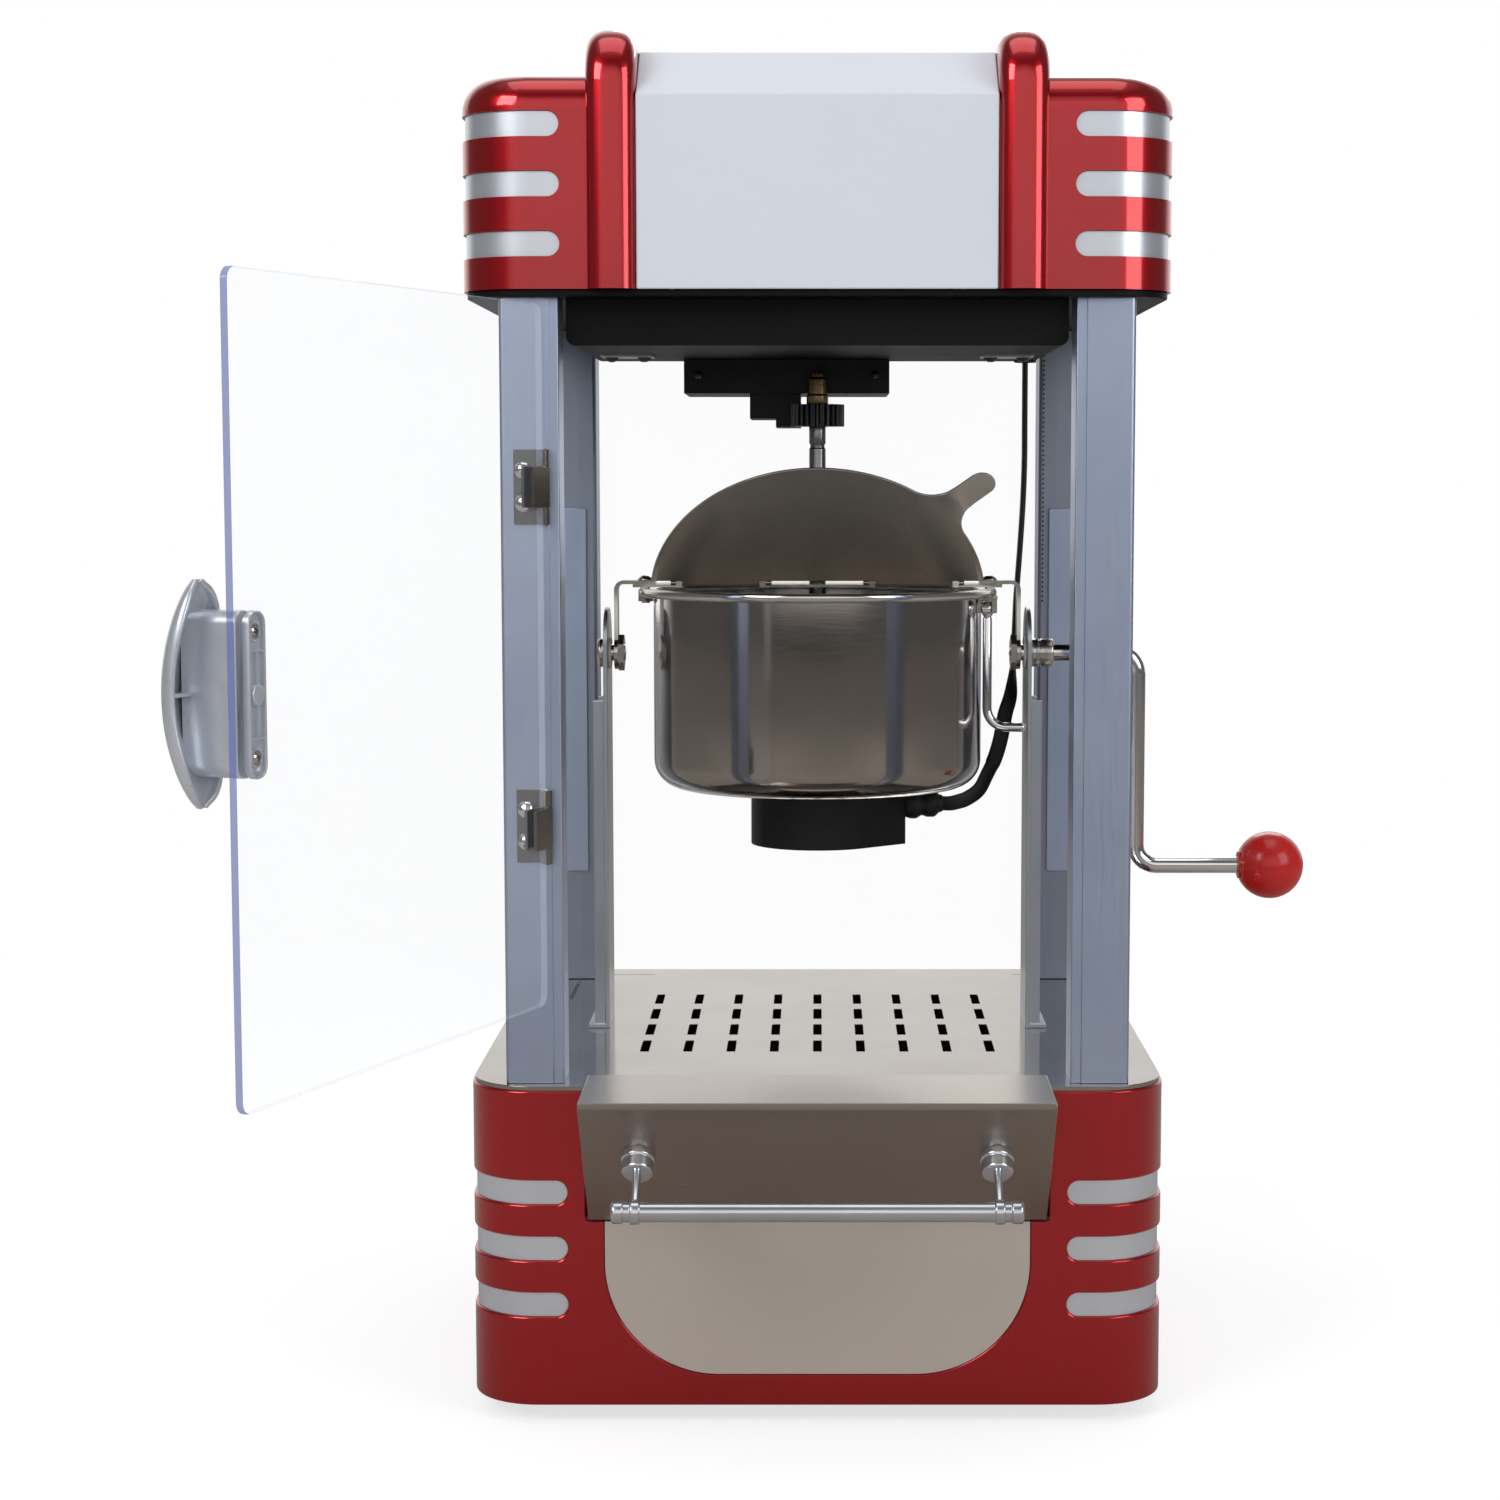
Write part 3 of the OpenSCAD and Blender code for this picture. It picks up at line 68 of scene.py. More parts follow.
# %% Camera
LOOK_DOWN = 5.406
lens = bpy.data.cameras.new("camera")
lens.sensor_width, lens.lens, lens.shift_x = 36, 67.7, -0.04495
lens.clip_start, lens.clip_end = 0.05, 50
camera = bpy.data.objects.new("camera", lens)
camera.location = (0, -1.3561, 0.4112)
camera.rotation_euler = (math.radians(90 - LOOK_DOWN), 0, 0)
scene.collection.objects.link(camera)
scene.camera = camera
print("camera ready")

# %% [markdown]
# ## Mesh helpers
# Wire, cord and bent sheet are all one thing to Blender: rings of points along a path, joined by faces.
# These helpers make the rings, join them, and turn the result into an object. All sizes are written in
# millimetres and become metres in one place.

# %% Mesh helpers
def put_in_scene(name, data):
    """A new object at the origin."""
    ob = bpy.data.objects.new(name, data)
    scene.collection.objects.link(ob)
    return ob


def shade(ob, degrees=35):
    """Smooth shading, up to an edge of so many degrees."""
    ob.data.shade_smooth()
    ob.data.set_sharp_from_angle(angle=math.radians(degrees))
    return ob


def to_mesh(name, bm):
    """A mesh from a bmesh, which is freed."""
    mesh = bpy.data.meshes.new(name)
    bm.to_mesh(mesh)
    bm.free()
    return mesh


def to_object(name, bm, smooth=35, unit=MM):
    """A smooth-shaded object in metres from a bmesh in another unit."""
    bmesh.ops.scale(bm, vec=(unit, unit, unit), verts=bm.verts)
    bmesh.ops.recalc_face_normals(bm, faces=bm.faces)
    return shade(put_in_scene(name, to_mesh(name, bm)), smooth)


def box(where, size):
    """A block about a point."""
    bm = bmesh.new()
    bmesh.ops.create_cube(bm, size=1, matrix=Matrix.Translation(where) @ Matrix.Diagonal((*size, 1)))
    return bm


def round_edges(ob, width, degrees):
    """A narrow bevel on every edge sharper than so many degrees."""
    bevel = ob.modifiers.new("round", "BEVEL")
    bevel.width, bevel.segments, bevel.limit_method = width * MM, 2, "ANGLE"
    bevel.angle_limit = math.radians(degrees)
    return bevel


def wear(ob, body, slot, *nodes, finish=None):
    """Gives a finished piece its body and its material, the named finish or else its slot's, and hides the
    nodes it stands for.
    """
    ob.data.materials.append(FINISH[finish or slot])
    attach(ob, body)
    if nodes:
        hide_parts(*nodes)
    return ob


def stand_for(ob, node, finish=None):
    """Gives a piece the body of the node that it stands for, and the finish of that node's slot unless
    another is named.
    """
    return wear(ob, BODY_OF[node], NODE_SLOT[node], node, finish=finish)


def rings_along(path, section, wide):
    """Rings along a path: section(k) is the flat outline there, and wide(k) the way of its width."""
    pts = [Vector(p) for p in path]
    rings = []
    for k, p in enumerate(pts):
        t = (pts[min(k + 1, len(pts) - 1)] - pts[max(k - 1, 0)]).normalized()
        u = Vector(wide(k))
        u = (u - t * u.dot(t)).normalized()
        v = t.cross(u)
        rings.append([p + u * a + v * b for a, b in section(k)])
    return rings


def skin(rings):
    """Joins rings of points into one closed bmesh."""
    bm = bmesh.new()
    verts = [[bm.verts.new(c) for c in ring] for ring in rings]
    n = len(rings[0])
    for a, b in zip(verts, verts[1:]):
        for k in range(n):
            bm.faces.new((a[k], a[(k + 1) % n], b[(k + 1) % n], b[k]))
    bm.faces.new(verts[0][::-1])
    bm.faces.new(verts[-1])
    return bm


def oval(a, b, n):
    return [(a * math.cos(2 * math.pi * k / n), b * math.sin(2 * math.pi * k / n)) for k in range(n)]


def bulged(value, power):
    """A signed power, which makes a round section squarer."""
    return math.copysign(abs(value) ** power, value)


def smooth_path(points, steps):
    """A Catmull-Rom curve through the points."""
    p = [Vector(q) for q in points]
    p = [2 * p[0] - p[1]] + p + [2 * p[-1] - p[-2]]
    out = []
    for i in range(1, len(p) - 2):
        for s in range(steps):
            t = s / steps
            out.append(0.5 * ((2 * p[i]) + (p[i + 1] - p[i - 1]) * t
                              + (2 * p[i - 1] - 5 * p[i] + 4 * p[i + 1] - p[i + 2]) * t * t
                              + (3 * p[i] - p[i - 1] - 3 * p[i + 1] + p[i + 2]) * t ** 3))
    out.append(p[-2])
    return out


print("helpers ready")

# %% [markdown]
# ## The kettle's cord
# The heater is fed by a flat black cord. It leaves the strain relief under the kettle, curves up beside
# the pivot and goes into the ceiling. It is one closed tube along a smooth path, and its flat section
# turns a quarter round on the way, as a flat cord does when it is bent round a corner.

# %% Kettle cord
RELIEF_X, RELIEF_Z = 60.5, 257
CORD_WIDE, CORD_THICK = 7.4, 2.7
TWIST_FROM, TWIST_OVER = 296, 34
cord_points = [(RELIEF_X + a, b, RELIEF_Z + c) for a, b, c in
               ((0, 0, 0), (4, 0, 0), (8, 1, 0.8), (12, 3, 2), (18, 6, 6), (22, 9, 13), (26, 12, 21),
                (29, 14, 31), (31, 15, 42))]
cord_points += [(x, 15, z) for x, z in
                ((94, 308), (95, 320), (95.5, 332), (96, 344), (96.5, 356), (97.5, 370))]
cord_points += [(x, 14, z) for x, z in
                ((98.5, 386), (99.5, 404), (100, 422), (100, 440), (100, 456), (100, 469))]
cord_line = smooth_path(cord_points, 4)


def cord_direction(k):
    """Across the view low down, and away from it above the pivot."""
    z = cord_line[k].z
    t = min(1, max(0, (z - TWIST_FROM) / TWIST_OVER))
    a = math.pi / 2 * t * t * (3 - 2 * t)
    return (math.cos(a), math.sin(a), 0) if z > 275 else (0.55, 0.25, -0.8)


def cord_section(k):
    """A rounded oblong, wide along the first direction."""
    return [(bulged(x, 0.7) * CORD_WIDE / 2, bulged(y, 0.8) * CORD_THICK / 2) for x, y in oval(1, 1, 20)]


cord = to_object("kettle_cord_flat", skin(rings_along(cord_line, cord_section, cord_direction)))

# %% [markdown]
# ## How the finishes are built
# A real finish is never one flat colour. Paint has a faint orange-peel ripple, rolled steel has long fine
# streaks, and moulded plastic has a grain. Every material below is built from the same few steps: noise
# read on Object coordinates, two close colours, a roughness that wanders a little, and a small bump.
# Object coordinates are in metres, so a noise scale of 300 gives marks about three millimetres across. A
# stretched mapping turns round noise into the streaks of a rolling mill or a polishing belt.

# %% Finish helpers
FINISH = {}


def link(tree, a, b):
    tree.links.new(a, b)


def wire(tree, *rows):
    """Links sockets. Each row is a node and its output, and a node and its input."""
    for source, output, target, socket in rows:
        link(tree, source.outputs[output], target.inputs[socket])


def set_inputs(node, **values):
    """Sets a node's unlinked inputs by name, and returns the node."""
    for key, value in values.items():
        node.inputs[key.replace("_", " ")].default_value = value
    return node


def node_in(tree, kind, **values):
    return set_inputs(tree.nodes.new(kind), **values)


def new_finish(slot, **sockets):
    """Starts a material and sets the constant sockets of its shader."""
    mat = bpy.data.materials.new(slot)
    mat.use_nodes = True
    FINISH[slot] = mat
    return mat.node_tree, set_inputs(mat.node_tree.nodes["Principled BSDF"], **sockets)


def place(tree, stretch=(1, 1, 1)):
    """Object coordinates, stretched by a Mapping node."""
    mapping = node_in(tree, "ShaderNodeMapping", Scale=stretch)
    wire(tree, (tree.nodes.new("ShaderNodeTexCoord"), "Object", mapping, "Vector"))
    return mapping.outputs["Vector"]


def noise(tree, vector, scale, detail, rough=0.55):
    node = node_in(tree, "ShaderNodeTexNoise", Scale=scale, Detail=detail, Roughness=rough)
    link(tree, vector, node.inputs["Vector"])
    return node.outputs["Fac"]


def two_tone(tree, fac, dark, light, socket, low=0.3, high=0.7):
    """Colours a value between two close colours and feeds a colour socket."""
    ramp = tree.nodes.new("ShaderNodeValToRGB")
    for stop, at, colour in zip(ramp.color_ramp.elements, (low, high), (dark, light)):
        stop.position, stop.color = at, (*colour, 1)
    link(tree, fac, ramp.inputs["Fac"])
    link(tree, ramp.outputs["Color"], socket)


def remap(tree, value, source, target=(0, 1), kind="LINEAR"):
    """Maps one range of numbers onto another."""
    node = tree.nodes.new("ShaderNodeMapRange")
    node.interpolation_type = kind
    for key, number in zip(("From Min", "From Max", "To Min", "To Max"), (*source, *target)):
        node.inputs[key].default_value = number
    link(tree, value, node.inputs["Value"])
    return node.outputs["Result"]


def vary(tree, fac, low, high, shader):
    """A roughness that wanders with a noise."""
    link(tree, remap(tree, fac, (0.25, 0.75), (low, high)), shader.inputs["Roughness"])


def ripple(tree, fac, shader, strength, distance):
    """A small bump."""
    node = node_in(tree, "ShaderNodeBump", Strength=strength, Distance=distance)
    link(tree, fac, node.inputs["Height"])
    link(tree, node.outputs["Normal"], shader.inputs["Normal"])


def tint(tree, shader, factor, colour):
    """Takes the two-tone colour towards another colour, by a factor."""
    mix = tree.nodes.new("ShaderNodeMix")
    mix.data_type = "RGBA"
    mix.inputs[7].default_value = (*colour, 1)
    ramp = next(n for n in tree.nodes if n.type == "VALTORGB")
    link(tree, factor, mix.inputs[0])
    link(tree, ramp.outputs["Color"], mix.inputs[6])
    link(tree, mix.outputs[2], shader.inputs["Base Color"])


print("finish helpers ready")

# %% [markdown]
# ## Candy red and the other paints
# The red ends and fins are sprayed with a clear coat over a bright undercoat. The coat is a second,
# sharper reflection over a softer one, which is what the Coat sockets of the Principled shader give. The
# ripple under it is the orange peel that every sprayed panel has. White, cream and black paint share the
# recipe, with other colours and gloss.

# %% Paints
def paint(slot, dark, light, rough, coat, peel=0.12, **more):
    tree, shader = new_finish(slot, Coat_Weight=coat, Coat_Roughness=0.06, **more)
    at = place(tree)
    two_tone(tree, noise(tree, at, 7, 2), dark, light, shader.inputs["Base Color"], 0.2, 0.8)
    vary(tree, noise(tree, at, 24, 1), rough - 0.02, rough + 0.02, shader)
    ripple(tree, noise(tree, at, 260, 1), shader, peel, 0.0004)


paint("red_enamel", (0.4, 0.003, 0.008), (0.46, 0.005, 0.012), 0.25, 1.0, 0.02, Metallic=0.82,
      Specular_IOR_Level=0.3)
paint("white_enamel", (0.56, 0.585, 0.64), (0.58, 0.61, 0.665), 0.32, 0.3, 0.06, Specular_IOR_Level=0.35)
# painted shade: the cream is darker than the panel's own colour, as the panel looks in shadow
paint("cream_enamel", (0.37, 0.32, 0.275), (0.39, 0.34, 0.295), 0.3, 0.4, 0.06)
paint("chassis_black", (0.003, 0.003, 0.0035), (0.007, 0.007, 0.008), 0.45, 0.0, 0.25,
      Specular_IOR_Level=0.1)
paint("housing_black", (0.005, 0.005, 0.007), (0.01, 0.01, 0.013), 0.42, 0.0, 0.3, Specular_IOR_Level=0.28)
paint("motor_steel", (0.2, 0.21, 0.23), (0.28, 0.29, 0.31), 0.4, 0.2, Metallic=0.4)
print("paints:", len(FINISH))

# %% [markdown]
# ## Metals
# Each metal here has a direction. The pillars are brushed along their length, the pot is polished round
# its girth, and the strips behind the slots are brushed along the slot. Stretching the noise ten or
# twenty times along that direction gives the streaks, and they go into roughness and bump more than into
# colour. The pot's base colour is also painted towards white where its surface is seen edge-on, from the
# facing of its surface: a painted highlight for the bright bands that polished steel shows at its sides.

# %% Metals
def metal(slot, dark, light, rough, stretch, grain, wander=0.07, bump=0.06, clouds=14, Metallic=1.0):
    tree, shader = new_finish(slot, Metallic=Metallic)
    streaks = noise(tree, place(tree, stretch), grain, 4, 0.65)
    two_tone(tree, noise(tree, place(tree), clouds, 4), dark, light, shader.inputs["Base Color"])
    vary(tree, streaks, max(0.02, rough - wander), rough + wander, shader)
    ripple(tree, streaks, shader, bump, 0.0002)
    return tree, shader


UPRIGHT, GIRTH, ACROSS = (12, 12, 0.5), (0.7, 0.7, 16), (0.4, 12, 12)
metal("pillar_silver", (0.41, 0.48, 0.65), (0.47, 0.55, 0.72), 0.36, UPRIGHT, 70, 0.05, 0.03)
# a darker copy of the pillar silver: painted shade for the rear pillars inside the cabinet
metal("pillar_silver_shaded", (0.27, 0.31, 0.39), (0.32, 0.36, 0.44), 0.4, UPRIGHT, 70, 0.05, 0.03)
metal("silver_strip", (0.66, 0.7, 0.77), (0.72, 0.76, 0.82), 0.3, (0.6, 0.6, 30), 60, 0.03, 0.015,
      Metallic=0.8)
metal("drawer_steel", (0.36, 0.32, 0.285), (0.4, 0.36, 0.325), 0.26, ACROSS, 60, 0.015, 0.006, 8)
# a darker copy of the nickel plate for the hinges: a painted dark reflection
metal("hinge_nickel_dark_reflection", (0.22, 0.21, 0.2), (0.28, 0.265, 0.25), 0.18, (1, 1, 3), 220, 0.04, 0.03)
metal("stainless", (0.33, 0.3, 0.275), (0.4, 0.37, 0.345), 0.11, GIRTH, 90, 0.03, 0.02)
tree, shader = metal("pot_steel", (0.33, 0.3, 0.275), (0.4, 0.37, 0.345), 0.11, GIRTH, 90, 0.03, 0.02)
# painted highlight: the base colour goes towards white where the pot is seen edge-on
painted_edge_highlight = node_in(tree, "ShaderNodeLayerWeight", Blend=0.5)
tint(tree, shader, remap(tree, painted_edge_highlight.outputs["Facing"], (0.5, 0.74)), (0.93, 0.94, 0.97))
metal("rim_steel", (0.6, 0.59, 0.58), (0.68, 0.67, 0.66), 0.12, GIRTH, 90, 0.03, 0.02)
metal("lid_steel", (0.5, 0.45, 0.39), (0.58, 0.53, 0.47), 0.2, (0.7, 0.7, 3), 120, 0.03, 0.02, Metallic=0.8)
metal("zinc_steel", (0.48, 0.5, 0.54), (0.54, 0.56, 0.6), 0.32, (1, 1, 0.2), 110, 0.04, 0.015)
metal("nickel_steel", (0.52, 0.49, 0.44), (0.64, 0.61, 0.56), 0.2, (1, 1, 3), 220)
metal("gear_steel", (0.05, 0.052, 0.058), (0.1, 0.1, 0.11), 0.34, (1, 1, 1), 420, bump=0.15)
metal("chrome_rod", (0.7, 0.7, 0.71), (0.8, 0.8, 0.81), 0.08, (1, 1, 2), 240, 0.03, 0.03)
metal("element_steel", (0.22, 0.17, 0.13), (0.36, 0.3, 0.25), 0.35, (1, 1, 1), 150)
metal("shaft_steel", (0.2, 0.2, 0.21), (0.28, 0.28, 0.29), 0.22, (1, 1, 16), 120)
metal("bronze", (0.27, 0.19, 0.09), (0.42, 0.31, 0.17), 0.3, (1, 1, 10), 160)
metal("satin_aluminium", (0.58, 0.61, 0.66), (0.7, 0.73, 0.78), 0.24, (0.3, 6, 6), 140, 0.03, 0.01)
print("finishes so far:", len(FINISH))

# %% [markdown]
# ## Plastic, rubber and glazed ceramic
# Plastic takes its grain from the mould. The grip is lacquered silver, the rockers and the ball are shiny
# red, and the drive case and the bezels are black with a fine spark-eroded grain.

# %% Plastics and rubber
def plastic(slot, dark, light, rough, grain=900, bump=0.1, clouds=30, **more):
    tree, shader = new_finish(slot, **more)
    at = place(tree)
    two_tone(tree, noise(tree, at, clouds, 3), dark, light, shader.inputs["Base Color"])
    vary(tree, noise(tree, at, 160, 3), rough - 0.05, rough + 0.06, shader)
    ripple(tree, noise(tree, at, grain, 2), shader, bump, 0.0003)


plastic("foot_rubber", (0.02, 0.02, 0.021), (0.035, 0.035, 0.036), 0.75, 1200, 0.35)
plastic("black_plastic", (0.004, 0.004, 0.0045), (0.009, 0.009, 0.01), 0.4, 1500, 0.2,
        Specular_IOR_Level=0.28)
plastic("cord_rubber", (0.006, 0.006, 0.007), (0.012, 0.012, 0.013), 0.5, 1100, 0.15,
        Specular_IOR_Level=0.35)
plastic("nylon", (0.66, 0.64, 0.58), (0.76, 0.74, 0.69), 0.4, Subsurface_Weight=0.05)
plastic("ceramic", (0.7, 0.67, 0.6), (0.82, 0.8, 0.74), 0.2, 400, 0.05)
plastic("red_plastic", (0.42, 0.012, 0.011), (0.46, 0.017, 0.015), 0.24, 500, 0.04, Coat_Weight=0.15,
        Specular_IOR_Level=0.3)
plastic("silver_plastic", (0.6, 0.63, 0.69), (0.64, 0.67, 0.73), 0.32, 300, 0.02, 12, Coat_Weight=0.3,
        Metallic=0.7)
print("finishes so far:", len(FINISH))

# %% [markdown]
# ## Clear panes
# Glass and acrylic are clear because light passes straight through a thin sheet, so the shader is mostly
# transparent with a weak mirror on it. A refracting shader on a sheet this thin costs much more time and
# looks the same. The cut edges are where the colour of the sheet shows, because there one looks through
# its whole width. The door's mesh stores a value called edge on them, and its material gets bluer and
# denser with it.

# %% Clear sheets
def clear(slot, colour, gloss, haze):
    """A sheet that one sees through, with faint smears in its gloss."""
    tree, shader = new_finish(slot, IOR=1.45, Alpha=haze)
    at = place(tree)
    lighter = [min(1, c * 1.04) for c in colour]
    two_tone(tree, noise(tree, at, 6, 3), colour, lighter, shader.inputs["Base Color"])
    vary(tree, noise(tree, at, 12, 5), gloss, gloss + 0.05, shader)
    ripple(tree, noise(tree, at, 30, 2), shader, 0.02, 0.0004)
    return tree, shader


clear("clear_pane", (0.86, 0.9, 0.92), 0.03, 0.022)
tree, shader = clear("clear_door", (0.8, 0.86, 0.97), 0.04, 0.05)
edge = tree.nodes.new("ShaderNodeAttribute")
edge.attribute_name = "edge"
link(tree, remap(tree, edge.outputs["Fac"], (0, 1), (0.05, 0.8)), shader.inputs["Alpha"])
tint(tree, shader, edge.outputs["Fac"], (0.13, 0.17, 0.4))

# %% [markdown]
# ## Dressing the CAD nodes
# Every CAD node takes the finish that its record names. Nodes that get a better shape further down are
# replaced there, and the others keep their solid with this finish.

# %% Dress the CAD nodes
for node, slot in NODE_SLOT.items():
    mesh = bpy.data.objects[node].data
    mesh.materials.clear()
    mesh.materials.append(FINISH[slot])
print("dressed", len(NODE_SLOT), "nodes")

# %% [markdown]
# ## The cord's finish
# One end of the real cord is fixed in the ceiling and the other in the kettle. Here the cord takes the
# black rubber finish, the CAD cord is hidden, and the cord's place is baked into its mesh.

cord.data.materials.append(FINISH["cord_rubber"])
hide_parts("kettle_cord")
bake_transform(cord)
print("cord declared,", len(cord_line), "points")

# %% [markdown]
# ## Softened CAD solids
# A CAD solid has knife-sharp edges, and a knife-sharp edge never catches light. Folded sheet and moulded
# plastic always have a small round there, so most nodes are copied, their loose triangles are merged into
# whole faces, and a narrow Bevel modifier rounds every edge sharper than thirty degrees. Weighted normals
# keep the big faces flat beside it. The copy then stands for the node.

# %% Soften CAD nodes
SOFT_ANGLE = 30


def soften(width, *nodes, finish=None):
    for node in nodes:
        bm = bmesh.new()
        bm.from_mesh(bpy.data.objects[node].data)
        bmesh.ops.remove_doubles(bm, verts=bm.verts, dist=2e-6)
        bmesh.ops.dissolve_limit(bm, angle_limit=math.radians(0.6), verts=bm.verts, edges=bm.edges)
        ob = shade(put_in_scene(node + "_soft", to_mesh(node + "_soft", bm)), SOFT_ANGLE)
        round_edges(ob, width, SOFT_ANGLE)
        flat = ob.modifiers.new("flat_faces", "WEIGHTED_NORMAL")
        flat.weight, flat.keep_sharp = 100, True
        stand_for(ob, node, finish)


soften(0.7, "base_shell", "head_cover", "head_ends")
soften(0.5, "base_pan", "ceiling_pan", "head_chassis", "head_rear_panel", "front_pillars", "drive_case",
       "heater_housing", "gear_motor", "heat_rocker", "motor_rocker")
# the rear pillars take the darker copy of the pillar silver, as painted shade
soften(0.5, "rear_pillars", finish="pillar_silver_shaded")
soften(0.5, "kernel_drawer", finish="drawer_steel")
soften(0.25, "base_front_panel", "pane_retainers", "kettle_supports", "drawer_runners", "side_panes",
       "rear_pane", "pivot_bushes", "switch_bezels", "lid_crossbar", "lift_handle_lug", "yoke_fasteners",
       "thermostat")
# the hinge clips take the darker nickel copy, a painted dark reflection
soften(0.25, "door_hinge_clips", finish="hinge_nickel_dark_reflection")

# %% [markdown]
# ## A tree for turned pieces
# The kettle, its rim, the feet, the collars and the knob are all turned on a lathe or spun over a form,
# so one rule makes them all: a profile goes once round an axis. The Geometry Nodes tree takes the profile
# as a chain of points, rounds each corner by the radius that is stored on it, and sweeps the profile
# along a circle. A change of a corner radius or of the number of steps then needs no new drawing.

# %% Turned tree
def new_tree(name, source, *inputs):
    """Starts a Geometry Nodes tree. Returns it, the identifiers of its inputs, and its two end nodes."""
    tree = bpy.data.node_groups.new(name, "GeometryNodeTree")
    tree.interface.new_socket("Geometry", in_out="OUTPUT", socket_type="NodeSocketGeometry")
    keys = {}
    for label, kind in ((source, "Geometry"), *inputs, ("Finish", "Material")):
        socket = tree.interface.new_socket(label, in_out="INPUT", socket_type="NodeSocket" + kind)
        keys[label] = socket.identifier
    return tree, keys, tree.nodes.new("NodeGroupInput"), tree.nodes.new("NodeGroupOutput")


def grown(mesh, tree, keys, **values):
    """Runs a tree on a mesh, with its inputs set by identifier, and returns the result as a plain mesh."""
    ob = put_in_scene("grown", mesh)
    mod = ob.modifiers.new("grown", "NODES")
    mod.node_group = tree
    for label, value in values.items():
        mod[keys[label.replace("_", " ")]] = value
    graph = bpy.context.evaluated_depsgraph_get()
    out = bpy.data.meshes.new_from_object(ob.evaluated_get(graph), depsgraph=graph)
    bpy.data.objects.remove(ob)
    return out


HUB = 0.001
lathe, LATHE, start, end = new_tree("spin_a_profile", "Profile", ("Steps round", "Int"),
                                    ("Corner steps", "Int"))
chain = node_in(lathe, "GeometryNodeMeshToCurve")
corner = node_in(lathe, "GeometryNodeInputNamedAttribute", Name="corner")
fillet = node_in(lathe, "GeometryNodeFilletCurve", Limit_Radius=True)
fillet.mode = "POLY"
inward = node_in(lathe, "GeometryNodeTransform", Translation=(-HUB, 0, 0))
circle = node_in(lathe, "GeometryNodeCurvePrimitiveCircle", Radius=HUB)
sweep = node_in(lathe, "GeometryNodeCurveToMesh")
weld = node_in(lathe, "GeometryNodeMergeByDistance", Distance=1e-6)
finished = node_in(lathe, "GeometryNodeSetMaterial")
wire(lathe, (start, "Profile", chain, "Mesh"), (chain, 0, fillet, "Curve"),
     (start, "Corner steps", fillet, "Count"), (corner, "Attribute", fillet, "Radius"),
     (fillet, 0, inward, "Geometry"), (start, "Steps round", circle, "Resolution"),
     (circle, 0, sweep, "Curve"), (inward, 0, sweep, "Profile Curve"), (sweep, 0, weld, "Geometry"),
     (weld, 0, finished, "Geometry"), (start, "Finish", finished, "Material"), (finished, 0, end, 0))

AXES = {"Z": Matrix.Identity(4), "X": Matrix.Rotation(math.pi / 2, 4, "Y"),
        "Y": Matrix.Rotation(-math.pi / 2, 4, "X")}


def spun_mesh(profile, slot, where=(0, 0, 0), axis="Z", steps=64, corner_steps=5):
    """Spins (radius, height, corner radius) points with the tree, and places the result along an axis."""
    mesh = bpy.data.meshes.new("profile")
    mesh.from_pydata([(p[0] * MM, -p[1] * MM, 0) for p in profile],
                     [(k, k + 1) for k in range(len(profile) - 1)], [])
    mesh.attributes.new("corner", "FLOAT", "POINT").data.foreach_set(
        "value", [(p[2] if len(p) > 2 else 0) * MM for p in profile])
    out = grown(mesh, lathe, LATHE, Steps_round=steps, Corner_steps=corner_steps, Finish=FINISH[slot])
    bm = bmesh.new()
    bm.from_mesh(out)
    bmesh.ops.remove_doubles(bm, verts=bm.verts, dist=1e-6)
    bmesh.ops.recalc_face_normals(bm, faces=bm.faces)
    bmesh.ops.transform(bm, matrix=Matrix.Translation([c * MM for c in where]) @ AXES[axis], verts=bm.verts)
    bm.to_mesh(out)
    bm.free()
    return out


def spun_part(*how):
    """A spun mesh as a bmesh in millimetres, to be joined with other parts."""
    bm = bmesh.new()
    bm.from_mesh(spun_mesh(*how))
    bmesh.ops.scale(bm, vec=(1 / MM, 1 / MM, 1 / MM), verts=bm.verts)
    return bm


def joined(name, meshes, smooth=35):
    """One object from several meshes."""
    bm = bmesh.new()
    for mesh in meshes:
        bm.from_mesh(mesh)
    ob = shade(put_in_scene(name, to_mesh(name, bm)), smooth)
    ob.data.materials.clear()  # the faces forget the slot that a tree gave them
    return ob


def turned(name, node, steps, corner_steps, *parts, smooth=35, finish=None):
    """Turns the parts of a node. A part is a profile, and then its place and axis where it needs them."""
    meshes = [spun_mesh(profile, NODE_SLOT[node], *rest, steps=steps, corner_steps=corner_steps)
              for profile, *rest in parts]
    stand_for(joined(name, meshes, smooth), node, finish)


print("lathe ready")

# %% [markdown]
# ## The kettle
# The kettle is the heart of the machine: a deep-drawn stainless pot with a rounded bottom corner and a
# rolled rim, whose shape follows the lathe rule above. Its profile is closed, out over the bottom, up the
# wall and back down the inside, so the sheet has its real thickness. The pin in the middle carries the
# stirrer.

